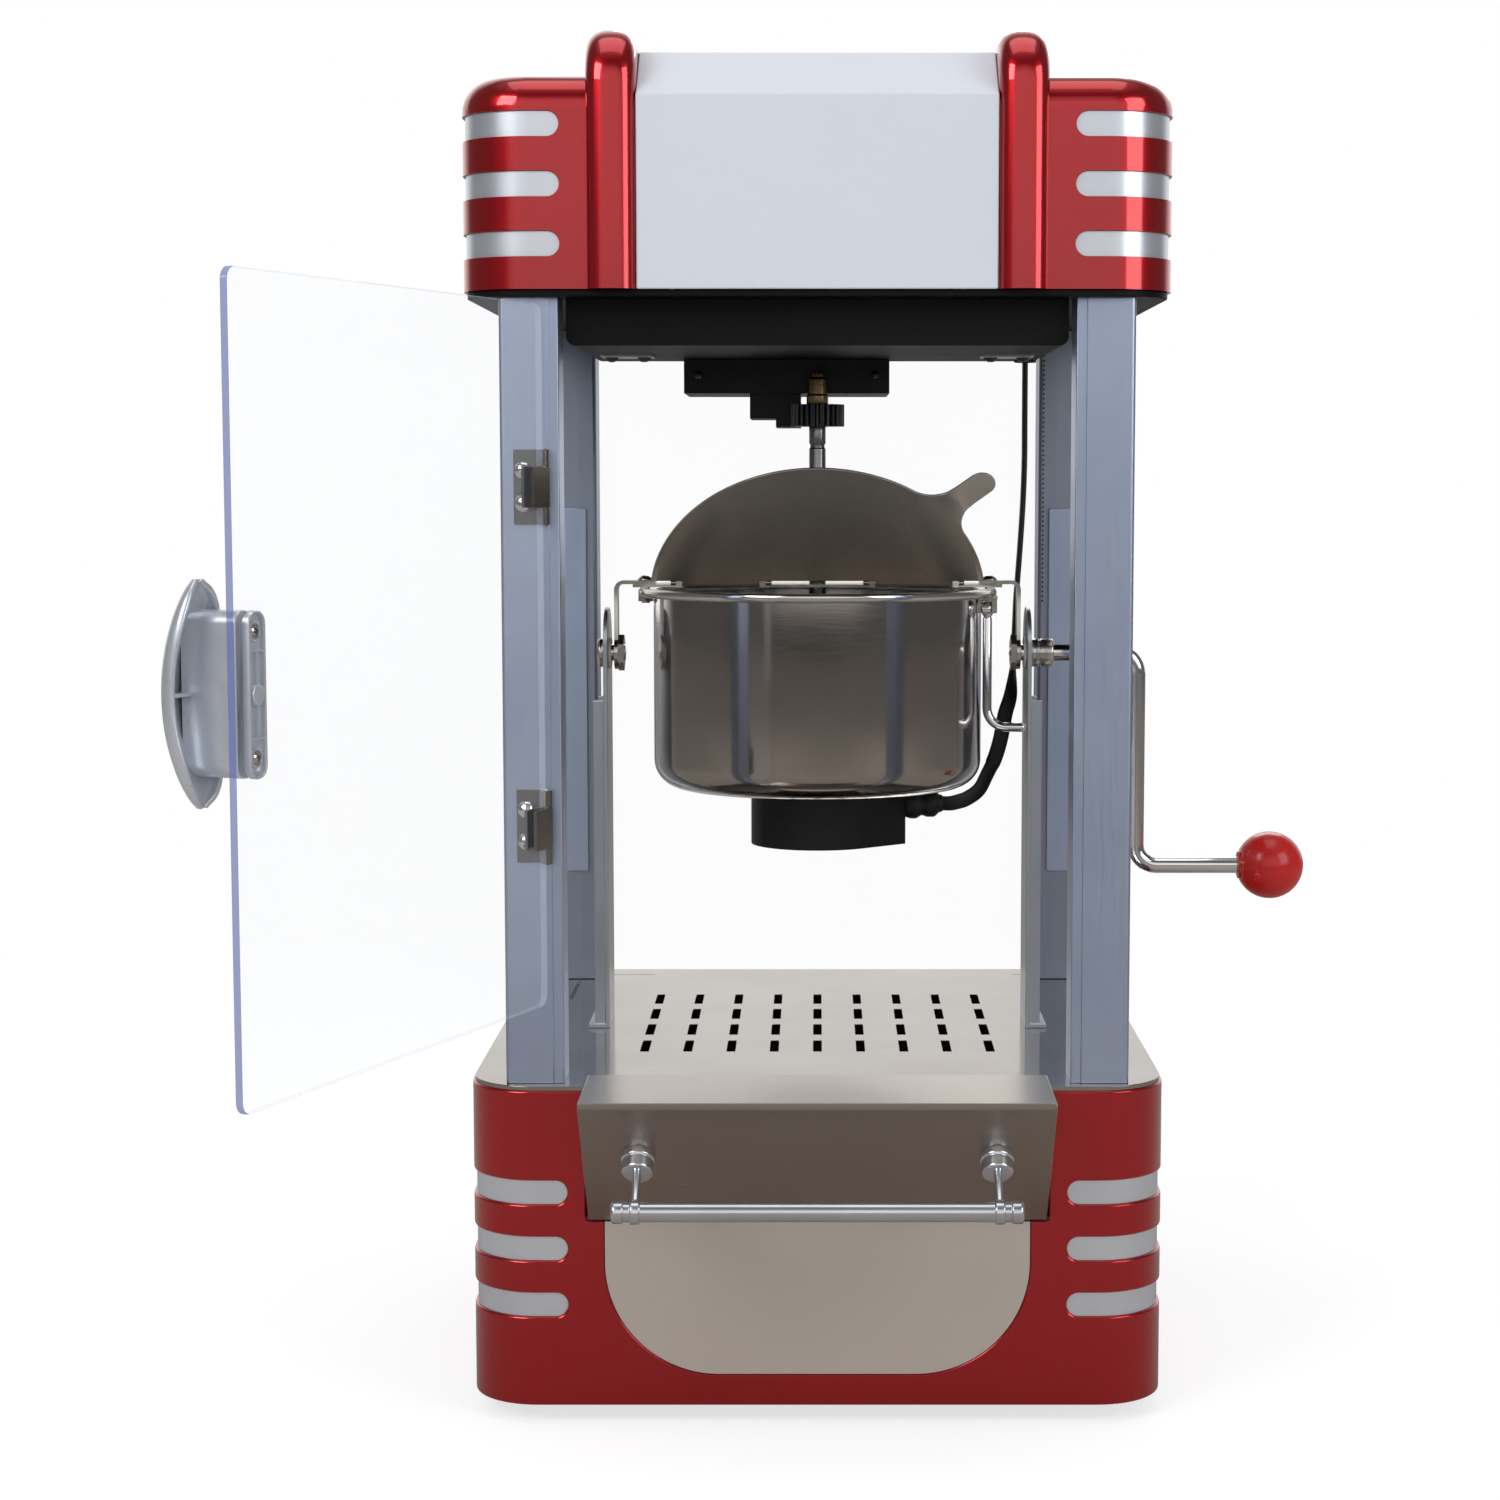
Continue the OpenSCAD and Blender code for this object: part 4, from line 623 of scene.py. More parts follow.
# %% Kettle pot and rim
POT_R, POT_Z, RIM_R, RIM_UNDER, WALL = 78.6, 266, 86.0, 357.9, 1.2
POT_IN, POT_FLOOR, PIN_R, PIN_TOP = POT_R - WALL, POT_Z + WALL, 2.5, POT_Z + 14
pot_profile = [(0, POT_Z), (POT_R, POT_Z, 13), (POT_R, RIM_UNDER, 0.3), (POT_IN, RIM_UNDER, 0.3),
               (POT_IN, POT_FLOOR, 11.8), (PIN_R, POT_FLOOR, 1.5), (PIN_R, PIN_TOP, 0.6), (0, PIN_TOP)]
turned("kettle_pot_spun", "kettle_pot", 128, 10, (pot_profile,), finish="pot_steel")
rim_profile = [(POT_IN, 357.95, 0.2), (83.2, 357.95, 0.4), (83.6, 357.3, 0.3), (RIM_R, 357.3, 1.9),
               (RIM_R, 361.55, 1.9), (82.8, 361.55, 1.0), (81.8, 360.7, 0.8), (POT_IN, 360.7, 0.8),
               (POT_IN, 357.95)]
turned("kettle_rim_rolled", "kettle_rim", 128, 5, (rim_profile,), finish="rim_steel")
print("kettle made")

# %% [markdown]
# ## Small turned pieces
# The feet, the stirrer's shaft and bronze sleeve, the pivot pin and collar, the cord's strain relief, the
# gland and the ball are turned with the same tree. Each is a short list of radius, height and corner
# radius.

# %% Turned pieces
PIVOT_Z, CRANK_DROP, KNOB_X, KNOB_R = 330, 103, 219, 16.2
foot = [(0, 3.2), (3.6, 3.2, 0.3), (3.6, 0, 0.7), (9.4, 0, 1.4), (10.2, 3.2, 0.6), (9.8, 3.9, 0.4),
        (10.9, 4.6, 0.6), (11, 8, 0.4), (0, 8)]
feet = [(foot, (x, y, 0)) for x in (-117, 117) for y in (-114, 114)]
turned("rubber_feet_turned", "rubber_feet", 40, 3, *feet)
shaft = [(2.56, 267.7), (4, 267.7, 0.5), (4, 427.5, 0.4), (3.5, 428, 0.2), (3.5, 429.6, 0.2),
         (4, 430.1, 0.3), (4, 438.1, 0.2), (0, 438.1), (0, 281.5), (2.56, 281.5), (2.56, 267.7)]
turned("agitator_shaft_turned", "agitator_shaft", 40, 3, (shaft,))
sleeve = [(0, 438.1), (2.6, 438.1), (2.6, 448.6), (5.2, 448.6, 0.4), (5.2, 452.6, 0.5), (4.7, 453.4, 0.4),
          (4.7, 460.4, 0.6), (3.3, 461.4, 0.4), (3.3, 464, 1.0), (0, 464)]
turned("bronze_sleeve_turned", "bronze_sleeve", 40, 3, (sleeve,))
pin = [(0, 0), (6.4, 0, 1.0), (7, 1.2, 0.4), (7, 3, 0.3), (4, 3, 0.1), (4, 13.4, 0.5), (0, 13.7)]
collar = [(4.02, 0), (6.8, 0, 0.5), (6.8, 3.4, 0.2), (6.4, 3.7, 0.1), (6.4, 4.3, 0.1), (6.8, 4.6, 0.2),
          (6.8, 10.6, 0.9), (4.02, 10.6), (4.02, 0)]
turned("pivot_pin_and_collar", "pivot_hardware", 48, 3, (pin, (-105.7, 0, PIVOT_Z), "X"),
       (collar, (102.7, 0, PIVOT_Z), "X"))
relief = [(0, -3), (3.4, -3, 0.3), (3.4, 0, 0), (6.6, 0, 0.8), (7.4, 2.6, 2.5), (7.4, 5.4, 2.2),
          (5.8, 7.8, 1.0), (5.9, 8.8, 0.8), (6.6, 10.4, 1.6), (6.6, 14.2, 2.4), (4.4, 16.4, 1.0),
          (4.0, 18.1, 0.5), (0, 18.1)]
turned("strain_relief_moulded", "strain_relief", 40, 5, (relief, (42.4, 0, RELIEF_Z), "X"))
gland = [(3.7, -8, 0.3), (6.9, -8, 0.5), (6.9, 0.02, 0), (10, 0.02, 0.5), (10, 4.4, 0.6), (8.6, 5, 0.3),
         (7.6, 5.2, 0.3), (7.2, 11.4, 1.6), (3.7, 12, 0.8), (3.7, -8)]
turned("mains_gland_turned", "mains_gland", 48, 3, (gland, (0, 151, 509), "Y"))
grommet = [(3.05, 468.9, 0.3), (5.4, 468.9, 0.6), (5.4, 470, 0.2), (3.9, 470, 0.1), (3.9, 471.6, 0.3),
           (3.05, 471.6, 0.1), (3.05, 468.9)]
turned("cord_grommet_moulded", "cord_grommet", 32, 3, (grommet, (100, 14, 0)))
ball = [(4.02, -KNOB_R + 0.6, 0.2), (6.4, -KNOB_R + 0.7, 0.4), (6.9, -14.2, 0.4)]
ball += [(KNOB_R * math.cos(a), KNOB_R * math.sin(a)) for a in (math.radians(d) for d in range(-60, 90, 5))]
ball += [(0, KNOB_R), (0, 4), (4.02, 4), (4.02, -KNOB_R + 0.6)]
turned("crank_ball", "crank_knob", 64, 2, (ball, (KNOB_X, 0, PIVOT_Z - CRANK_DROP), "X"), smooth=40)
print("turned pieces made")

# %% [markdown]
# ## Rods and wire
# The crank, the hanging handle and the stirrer are bent from round rod. A bend is a quarter of a ring
# between two straight lengths, so each path is given by its corners and a bend radius, and the rod's ends
# are rounded over. The stirrer has a hub, two long arms with upturned ends, and two short arms.

# %% Rods
def bent(corners, radius, steps=8):
    """A path through corners, with an arc of the given radius at each inner one."""
    pts = [Vector(c) for c in corners]
    out = [pts[0]]
    for a, b, c in zip(pts, pts[1:], pts[2:]):
        u, v = (a - b).normalized(), (c - b).normalized()
        half = u.angle(v) / 2
        back = radius / math.tan(half)
        centre = b + (u + v).normalized() * (radius / math.sin(half))
        p, q = b + u * back - centre, b + v * back - centre
        swing = p.angle(q)
        for k in range(steps + 1):
            t = swing * k / steps
            out.append(centre + (p * math.sin(swing - t) + q * math.sin(t)) / math.sin(swing))
    return out + [pts[-1]]


def rod(path, r, sides, wide=(0, 1, 0)):
    """A closed round rod with rounded ends along a path, in millimetres."""
    pts = [Vector(p) for p in path]
    head, tail = (pts[1] - pts[0]).normalized(), (pts[-1] - pts[-2]).normalized()
    caps = [(1 - math.cos(math.radians(d)), math.sin(math.radians(d))) for d in (12, 35, 60)]
    line = [pts[0] + head * r * a for a, _ in caps] + [pts[0] + head * r] + pts[1:-1]
    line += [pts[-1] - tail * r] + [pts[-1] - tail * r * a for a, _ in reversed(caps)]
    sizes = [r * b for _, b in caps] + [r] * len(pts) + [r * b for _, b in reversed(caps)]
    return skin(rings_along(line, lambda k: oval(sizes[k], sizes[k], sides), lambda k: wide))


def from_parts(name, node, parts, smooth=35, place=None, finish=None):
    """Joins bmeshes in millimetres into one piece for a node, placed by an optional matrix."""
    bm = bmesh.new()
    for part in parts:
        bmesh.ops.recalc_face_normals(part, faces=part.faces)
        mesh = to_mesh("part", part)
        bm.from_mesh(mesh)
        bpy.data.meshes.remove(mesh)
    if place is not None:
        bmesh.ops.transform(bm, matrix=place, verts=bm.verts)
    return stand_for(to_object(name, bm, smooth), node, finish)


crank_path = bent([(92, 0, PIVOT_Z), (154, 0, PIVOT_Z), (154, 0, PIVOT_Z - CRANK_DROP),
                   (KNOB_X + 4, 0, PIVOT_Z - CRANK_DROP)], 10)
from_parts("crank_rod_bent", "crank_rod", [rod(crank_path, 4, 24)])

ARM_Z, ARM_OUT, ARM_R, UPTURN = POT_FLOOR + 4, POT_IN - 13 - 2, 2, 16
arms = [rod(bent([(0, 0, ARM_Z), (x, 0, ARM_Z), (x, 0, ARM_Z + UPTURN)], 3.5), ARM_R, 12)
        for x in (4 - ARM_OUT, ARM_OUT - 4)]
arms += [rod([(0, 0, ARM_Z), (0, y / 2, ARM_Z), (0, y, ARM_Z)], ARM_R, 12, (1, 0, 0))
         for y in (-0.6 * ARM_OUT, 0.6 * ARM_OUT)]
hub = [(r, POT_FLOOR + z, *c) for r, z, *c in
       ((4.02, 0.6, 0.2), (9, 0.6, 0.6), (9, 7.6, 0.8), (6.5, 9.6, 1.2), (4.02, 9.6, 0.3), (4.02, 0.6))]
arms.append(spun_part(hub, "shaft_steel", (0, 0, 0), "Z", 40, 3))
from_parts("stir_arm_bent", "stir_arm", arms)
print("rods made")

# %% [markdown]
# ## The hanging handle
# A polished rod hangs from a lug on the rim, beside the pivot. The lug stands square on the round rim, so
# the handle is built upright in the lug's own axes and is then turned with them. An eye at its top goes
# round the pin.

# %% Hanging handle
HANDLE_R, HANDLE_BEND, EYE_DROP, HANDLE_DROP = 2.2, 9, 6, 62
YOKE_PLANE, YOKE_GAP = 100, 0.6
lug_turn = math.radians(-14)
lug_at = Vector((RIM_R * 0.965 * math.cos(lug_turn), RIM_R * 0.965 * math.sin(lug_turn), RIM_UNDER))
lug_frame = Matrix.Translation(lug_at) @ Matrix.Rotation(lug_turn, 4, "Z")
foot_out = (YOKE_PLANE - YOKE_GAP - lug_at.x + HANDLE_R * math.sin(lug_turn)) / math.cos(lug_turn)
handle_path = bent([(0, 0, -EYE_DROP), (0, 0, -HANDLE_DROP), (foot_out, 0, -HANDLE_DROP)], HANDLE_BEND)
handle_path[0] = handle_path[0] + Vector((0, 0, -2.6))
eye = [(1.3, -2.3, 0.2), (3.4, -2.3, 0.7), (3.4, 2.3, 0.7), (1.3, 2.3, 0.2), (1.3, -2.3)]
eye = spun_part(eye, "chrome_rod", (0, 0, -EYE_DROP), "X", 32, 3)
from_parts("lift_handle_bent", "lift_handle", [rod(handle_path, HANDLE_R, 20), eye], place=lug_frame)
print("handle made")

# %% [markdown]
# ## The lids
# Each lid is half a disc of polished sheet, hinged on a rod across the kettle. The front one has a finger
# tab, and the sheet runs into the tab in two hollow curves. The outline is one rule in polar form: the
# reach of the sheet at each angle, which is the disc, the fillet or the tab. The sheet is thickened by
# 1.2 mm, and a Bevel modifier breaks its edge. Two rolled knuckles hold it to the rod.

# %% Lids
LID_R, TAB_W, TAB_REACH, TAB_AT, HOLLOW, LID_T = 80.0, 13.0, 110.0, math.radians(43), 15.0, 1.2
LID_EDGE, CUT_OUT, KNUCKLE_X, KNUCKLE_HALF, HINGE_OFF, HINGE_UP = 10.8, 11.0, 46, 18, 8, 363.8


def lid_reach(angle, tab):
    """How far the sheet reaches from the kettle's axis, at an angle from the hinge line."""
    d = abs(angle - TAB_AT)
    if not tab or d > 0.5:
        return LID_R
    h, c = TAB_W / 2, LID_R + HOLLOW
    lean = math.asin((h + HOLLOW) / c)
    side_end = c * math.cos(lean)
    if d >= lean:
        return LID_R
    if d > math.atan2(h, side_end):
        return c * math.cos(lean - d) - math.sqrt(max(0, HOLLOW ** 2 - (c * math.sin(lean - d)) ** 2))
    tip = TAB_REACH - h
    if d > math.atan2(h, tip):
        return h / math.sin(d)
    return tip * math.cos(d) + math.sqrt(max(0, h * h - (tip * math.sin(d)) ** 2))


def lid_sheet(tab):
    """The sheet seen from above, about the kettle's axis, reaching towards -Y, in millimetres."""
    a0, i0 = math.asin(LID_EDGE / LID_R), math.asin(LID_EDGE / CUT_OUT)
    angles = list(np.linspace(a0, math.pi - a0, 90))
    if tab:
        angles = sorted(angles + list(np.linspace(TAB_AT - 0.26, TAB_AT + 0.26, 61)))
    polar = [(lid_reach(a, tab), a) for a in angles]
    polar += [(CUT_OUT, a) for a in np.linspace(math.pi - i0, i0, 24)]
    bm = bmesh.new()
    bm.faces.new([bm.verts.new((r * math.cos(a), -r * math.sin(a), 0)) for r, a in polar])
    bmesh.ops.triangulate(bm, faces=bm.faces, ngon_method="EAR_CLIP")
    return bm


def lid(name, node, tab, hinge_y, turn, tilt):
    bm = lid_sheet(tab)
    bmesh.ops.solidify(bm, geom=bm.faces, thickness=LID_T)
    low = min(v.co.z for v in bm.verts)
    bmesh.ops.translate(bm, vec=(0, HINGE_OFF, -2.0 - low), verts=bm.verts)
    bmesh.ops.dissolve_limit(bm, angle_limit=math.radians(0.5), verts=bm.verts, edges=bm.edges)
    parts, k = [bm], KNUCKLE_HALF
    tube = [(1.3, -k, 0.1), (2.1, -k, 0.3), (2.1, k, 0.3), (1.3, k, 0.1), (1.3, -k)]
    for x in (-KNUCKLE_X, KNUCKLE_X):
        parts.append(spun_part(tube, "stainless", (x, 0, 0), "X", 20, 2))
        parts.append(box((x, -1.9, -1.4), (2 * k, 2.4, LID_T)))
    place = (Matrix.Translation((0, hinge_y, HINGE_UP)) @ Matrix.Rotation(tilt, 4, "X")
             @ Matrix.Rotation(turn, 4, "Z"))
    ob = from_parts(name, node, parts, place=place, finish="lid_steel")
    round_edges(ob, 0.3, 50).harden_normals = True


lid("front_lid_sheet", "front_lid", True, -HINGE_OFF, 0, math.radians(-50))
lid("rear_lid_sheet", "rear_lid", False, HINGE_OFF, math.pi, 0)
print("lids made")

# %% [markdown]
# ## The two fins
# A fin is a pressed red hoop that runs up the front of the head, over the top and down the back. Its
# outer face is crowned, which gives the long highlight down its middle and the dark line at each side.
# One section, whose crown lies between a half circle and a square, follows the hoop's path.

# %% Fins
FIN_X, FIN_W, FIN_Y, FIN_TOP, FIN_LOW, FIN_ROLL, FIN_DEEP, CROWN = 87.25, 21.5, 155, 603, 493, 9.5, 22, 0.8
half_w = FIN_W / 2
fin_section = [(-half_w, FIN_DEEP)]
for degrees in range(0, 181, 10):
    across, up = math.cos(math.radians(degrees)), math.sin(math.radians(degrees))
    fin_section.append((-half_w * bulged(across, CROWN), FIN_ROLL * (1 - abs(up) ** CROWN)))
fin_section.append((half_w, FIN_DEEP))
hoop = bent([(0, -FIN_Y, FIN_LOW), (0, -FIN_Y, FIN_TOP), (0, FIN_Y, FIN_TOP), (0, FIN_Y, FIN_LOW)], 24, 12)
for side, x in (("left", -FIN_X), ("right", FIN_X)):
    line = [p + Vector((x, 0, 0)) for p in hoop]
    fin = skin(rings_along(line, lambda k: fin_section, lambda k: (1, 0, 0)))
    from_parts("head_fin_" + side, "head_fins", [fin], smooth=40)
print("fins made")

# %% [markdown]
# ## The yoke straps
# Two flat straps carry the kettle. Each leaves the rim's ear, turns down through a bend, and widens to a
# round end at the pivot. A strip is a cord with a flat section, so it comes from the same ring helper,
# with a width that follows the circle near the pivot.

# %% Yoke straps
STRAP_X, STRAP_HALF, STRAP_T, EYE_R = 96.5, 5.0, 0.9, 8
top = bent([(77.4, 0, 363.9), (STRAP_X, 0, 363.9), (STRAP_X, 0, PIVOT_Z + 10)], 3.6)
round_end = np.linspace(math.radians(36), math.pi - 0.02, 24)
strap_path = top[:-1] + [Vector((STRAP_X, 0, PIVOT_Z + EYE_R * math.cos(a))) for a in round_end]


def strap_section(k):
    dz = strap_path[k].z - PIVOT_Z
    if dz <= 0:
        half = math.sqrt(max(0.01, EYE_R ** 2 - dz * dz))
    elif strap_path[k].x > 90:
        half = max(STRAP_HALF, math.sqrt(max(0, EYE_R ** 2 - dz * dz)))
    else:
        half = STRAP_HALF
    across = (half, half - 0.3, -half + 0.3, -half)
    return [(a, STRAP_T) for a in across] + [(-half, -STRAP_T), (half, -STRAP_T)]


straps = [skin(rings_along(strap_path, strap_section, lambda k: (0, 1, 0))) for side in range(2)]
bmesh.ops.scale(straps[1], vec=(-1, 1, 1), verts=straps[1].verts)
round_edges(from_parts("yoke_straps_bent", "yoke_straps", straps), 0.25, 50)
print("straps made")

# %% [markdown]
# ## The door's grip
# The grip is a moulded bow: a long dished shell whose ends come to rounded points, hollow behind, on a
# standoff block that goes to the door's edge. The shell is a grid of points with a lens-shaped outline.
# Solidify gives it a wall, and a level of subdivision rounds its lip. On the other side of the door sits
# a tray-shaped back plate with two screws, ribs and a round magnet. All of it is built on the closed door
# and swung open with it.

# %% Door grip
DOOR_OPEN, DOOR_T = 112, 1.5
PIN_X, PIN_Y, DOOR_MID_Z = -116.7, -148.0, 336.5
GRIP_S, PLATE_S = 231.0, 227.0
BOW_L, BOW_W, BOW_CURVE, BOW_Y, BOW_ROWS, BOW_STEPS = 41, 15, 95, -28.5, 30, 14
door_place = (Matrix.Translation((PIN_X, PIN_Y, DOOR_MID_Z))
              @ Matrix.Rotation(math.radians(-DOOR_OPEN), 4, "Z"))


def bow_shell():
    """The outer skin of the bow, around z, in the closed door's own axes."""
    bm = bmesh.new()
    rows = []
    for i in range(BOW_ROWS + 1):
        z = BOW_L * math.sin((-1 + 2 * i / BOW_ROWS) * math.pi / 2)
        half = BOW_W * max(0.03, (1 - (abs(z) / BOW_L) ** 2.7)) ** 0.5
        back = BOW_CURVE - math.sqrt(BOW_CURVE ** 2 - z ** 2)
        deep = min(9.5, 0.62 * half + 1.2)
        row = []
        for j in range(BOW_STEPS + 1):
            a = math.pi * (j / BOW_STEPS - 0.5)
            y = BOW_Y + back + deep * (1 - abs(math.cos(a)) ** 0.75)
            row.append(bm.verts.new((GRIP_S + half * bulged(math.sin(a), 0.85), y, z)))
        rows.append(row)
    for a, b in zip(rows, rows[1:]):
        for j in range(BOW_STEPS):
            bm.faces.new((a[j], b[j], b[j + 1], a[j + 1]))
    bmesh.ops.remove_doubles(bm, verts=bm.verts, dist=0.02)
    return bm


bow = bow_shell()
bmesh.ops.transform(bow, matrix=door_place, verts=bow.verts)
bmesh.ops.recalc_face_normals(bow, faces=bow.faces)
# an open sheet has no inside, so its outer side is told from the face at its middle
outward = door_place.to_3x3() @ Vector((0, -1, 0))
front = door_place @ Vector((GRIP_S, -28, 0))
middle = min(bow.faces, key=lambda f: (f.calc_center_median() - front).length)
if middle.normal.dot(outward) < 0:
    bmesh.ops.reverse_faces(bow, faces=bow.faces)
bmesh.ops.scale(bow, vec=(MM, MM, MM), verts=bow.verts)
bow_ob = shade(put_in_scene("door_grip_bow", to_mesh("bow", bow)), 60)
wall = bow_ob.modifiers.new("wall", "SOLIDIFY")
wall.thickness, wall.offset = 2.4 * MM, -1
lip = bow_ob.modifiers.new("lip", "SUBSURF")
lip.levels = lip.render_levels = 1
stand_for(bow_ob, "door_grip")


def rounded(w, l, r):
    """The outline of a rounded rectangle, as (across, along)."""
    steps, pts = 8, []
    for cx, cz, a0 in ((1, 1, 0), (-1, 1, 90), (-1, -1, 180), (1, -1, 270)):
        for k in range(steps + 1):
            a = math.radians(a0 + 90 * k / steps)
            pts.append((cx * (w / 2 - r) + r * math.cos(a), cz * (l / 2 - r) + r * math.sin(a)))
    return pts


def stacked(*levels):
    """A closed skin through rounded rectangles, each (width, length, corner, y) on the closed door."""
    return skin([[Vector((PLATE_S + a, y, b)) for a, b in rounded(w, l, r)] for w, l, r, y in levels])


block = stacked((10.4, 59.4, 4.7, -DOOR_T), (11, 60, 5, -1.9), (11, 60, 5, -20), (10.6, 58, 4.8, -24.4))
rib = box((GRIP_S, -22.6, 0), (24, 5, 1.4))
from_parts("door_grip_block", "door_grip", [block, rib], place=door_place)

PLATE_SCREW_Z, RING_FLOOR = 22.5, 2.1
tray = [stacked((11, 60, 5, DOOR_T), (11, 60, 5, 3.6), (10.4, 59.4, 4.7, 4.1), (9.2, 58.2, 4.1, 4.1),
                (8.8, 57.8, 3.9, 3.8), (8.8, 57.8, 3.9, 2.2))]
magnet = [(0, RING_FLOOR), (3.9, RING_FLOOR, 0.1), (3.9, 4.6, 0.6), (0, 4.6)]
tray.append(spun_part(magnet, "silver_plastic", (PLATE_S, 0, 0), "Y", 40, 4))
tray += [box((PLATE_S, 2.9, z), (c, 1.6, d))
         for z, c, d in ((0, 0.7, 30), (15.6, 8.8, 0.8), (-15.6, 8.8, 0.8))]
ring = [(2.9, RING_FLOOR), (3.6, RING_FLOOR), (3.6, 3.3, 0.2), (2.9, 3.3, 0.2), (2.9, RING_FLOOR)]
tray += [spun_part(ring, "silver_plastic", (PLATE_S, 0, z), "Y", 32, 2)
         for z in (-PLATE_SCREW_Z, PLATE_SCREW_Z)]
from_parts("door_back_tray", "door_back_plate", tray, place=door_place)
print("grip made")

# %% [markdown]
# ## Screws from points
# Every screw is the same pan head with a cross recess, so one template is placed many times. The tree
# takes a cloud of points. Each point stores which way its screw faces and how big the head is. An
# instance is turned to that direction, spun by a random angle with a fixed seed, as no fitter lines up
# the crosses, and scaled. The instances are then realized into one mesh.

# %% Screw tree
def screw_template():
    """A pan head of radius 1, standing on z = 0, with a cross recess."""
    dome = lambda r: -0.55 + math.sqrt(1.22 ** 2 - r * r)
    bm = bmesh.new()
    n, w, l = 28, 0.13, 0.52
    side = [(1.0, -0.05), (1.0, 0.1), (0.965, 0.2)] + [(r, dome(r)) for r in (0.88, 0.76, 0.64)]
    rings = [[bm.verts.new((x, y, z)) for x, y in oval(r, r, n)] for r, z in side]
    for a, b in zip(rings, rings[1:]):
        for k in range(n):
            bm.faces.new((a[k], a[(k + 1) % n], b[(k + 1) % n], b[k]))
    cross = [(l, -w), (l, w), (w, w), (w, l), (-w, l), (-w, w), (-l, w), (-l, -w), (-w, -w), (-w, -l),
             (w, -l), (w, -w)]
    top = [bm.verts.new((x, y, dome(math.hypot(x, y)))) for x, y in cross]
    low = [bm.verts.new((x * 0.8, y * 0.8, 0.22)) for x, y in cross]
    edges = [bm.edges.new((top[k], top[(k + 1) % 12])) for k in range(12)]
    edges += [bm.edges.get((rings[-1][k], rings[-1][(k + 1) % n])) for k in range(n)]
    bmesh.ops.triangle_fill(bm, use_beauty=True, edges=edges)
    for k in range(12):
        bm.faces.new((top[k], top[(k + 1) % 12], low[(k + 1) % 12], low[k]))
    bm.faces.new(low)
    bm.faces.new(rings[0][::-1])
    return to_object("screw_template", bm, 40, unit=1)


fitter, FITTER, start, end = new_tree("set_screws", "Points", ("Screw", "Object"), ("Seed", "Int"))
shape = node_in(fitter, "GeometryNodeObjectInfo")
facing = node_in(fitter, "GeometryNodeInputNamedAttribute", Name="facing")
facing.data_type = "FLOAT_VECTOR"
size = node_in(fitter, "GeometryNodeInputNamedAttribute", Name="size")
aim = node_in(fitter, "FunctionNodeAlignRotationToVector")
aim.axis = "Z"
angle = node_in(fitter, "FunctionNodeRandomValue", Min=0.0)
angle.inputs[3].default_value = math.pi
about = node_in(fitter, "FunctionNodeAxisAngleToRotation")
turn = node_in(fitter, "FunctionNodeRotateRotation")
turn.rotation_space = "LOCAL"
put = node_in(fitter, "GeometryNodeInstanceOnPoints")
real = node_in(fitter, "GeometryNodeRealizeInstances")
finished = node_in(fitter, "GeometryNodeSetMaterial")
wire(fitter, (start, "Points", put, "Points"), (start, "Screw", shape, "Object"),
     (shape, "Geometry", put, "Instance"), (facing, "Attribute", aim, "Vector"),
     (start, "Seed", angle, "Seed"), (angle, 1, about, "Angle"), (aim, 0, turn, "Rotation"),
     (about, 0, turn, "Rotate By"), (turn, 0, put, "Rotation"), (size, "Attribute", put, "Scale"),
     (put, 0, real, 0),
     (real, 0, finished, "Geometry"), (start, "Finish", finished, "Material"), (finished, 0, end, 0))


def screws(spots, slot, seed=3):
    """Sets screws at (place, facing, head radius), in millimetres, and returns them as one mesh."""
    mesh = bpy.data.meshes.new("spots")
    mesh.from_pydata([[c * MM for c in where] for where, _, _ in spots], [], [])
    mesh.attributes.new("facing", "FLOAT_VECTOR", "POINT").data.foreach_set(
        "vector", [c for _, way, _ in spots for c in Vector(way).normalized()])
    mesh.attributes.new("size", "FLOAT", "POINT").data.foreach_set("value", [r * MM for _, _, r in spots])
    template = screw_template()
    out = grown(mesh, fitter, FITTER, Screw=template, Seed=seed, Finish=FINISH[slot])
    bpy.data.objects.remove(template)
    return out


def cabinet_screws(name, spots, slot, seed=3):
    wear(joined(name, [screws(spots, slot, seed)], 40), "cabinet", slot)


def prism(levels, where=(0, 0, 0)):
    """A closed skin through rounded rectangles, each (width, length, corner, z)."""
    bm = skin([[Vector((a, b, z)) for a, b in rounded(w, l, r)] for w, l, r, z in levels])
    bmesh.ops.translate(bm, vec=where, verts=bm.verts)
    return bm


dark = [((x, 6.9, 462.6), (0, -1, 0), 2.1) for x in (-57, 27.5)]
dark += [((x, 150.9, z), (0, 1, 0), 2.9) for x in (-71, 71) for z in (499, 565.5)]
cabinet_screws("cabinet_screws_dark", dark, "gear_steel")
domed = [((x, 118.05, z), (0, -1, 0), 2.2) for x in (-123.6, 123.6) for z in (386, 216)]
cabinet_screws("pillar_screws", domed, "zinc_steel", 5)
print("screw tree ready")

# %% [markdown]
# ## Ceiling clips and hinges
# Two small plates under the ceiling hold the wires. The hinges are strips of nickel-plated sheet, screwed
# to the left front pillar and rolled round a pin at both ends. They and the door's hinge clips take a
# darker copy of the nickel plate: a painted dark reflection.

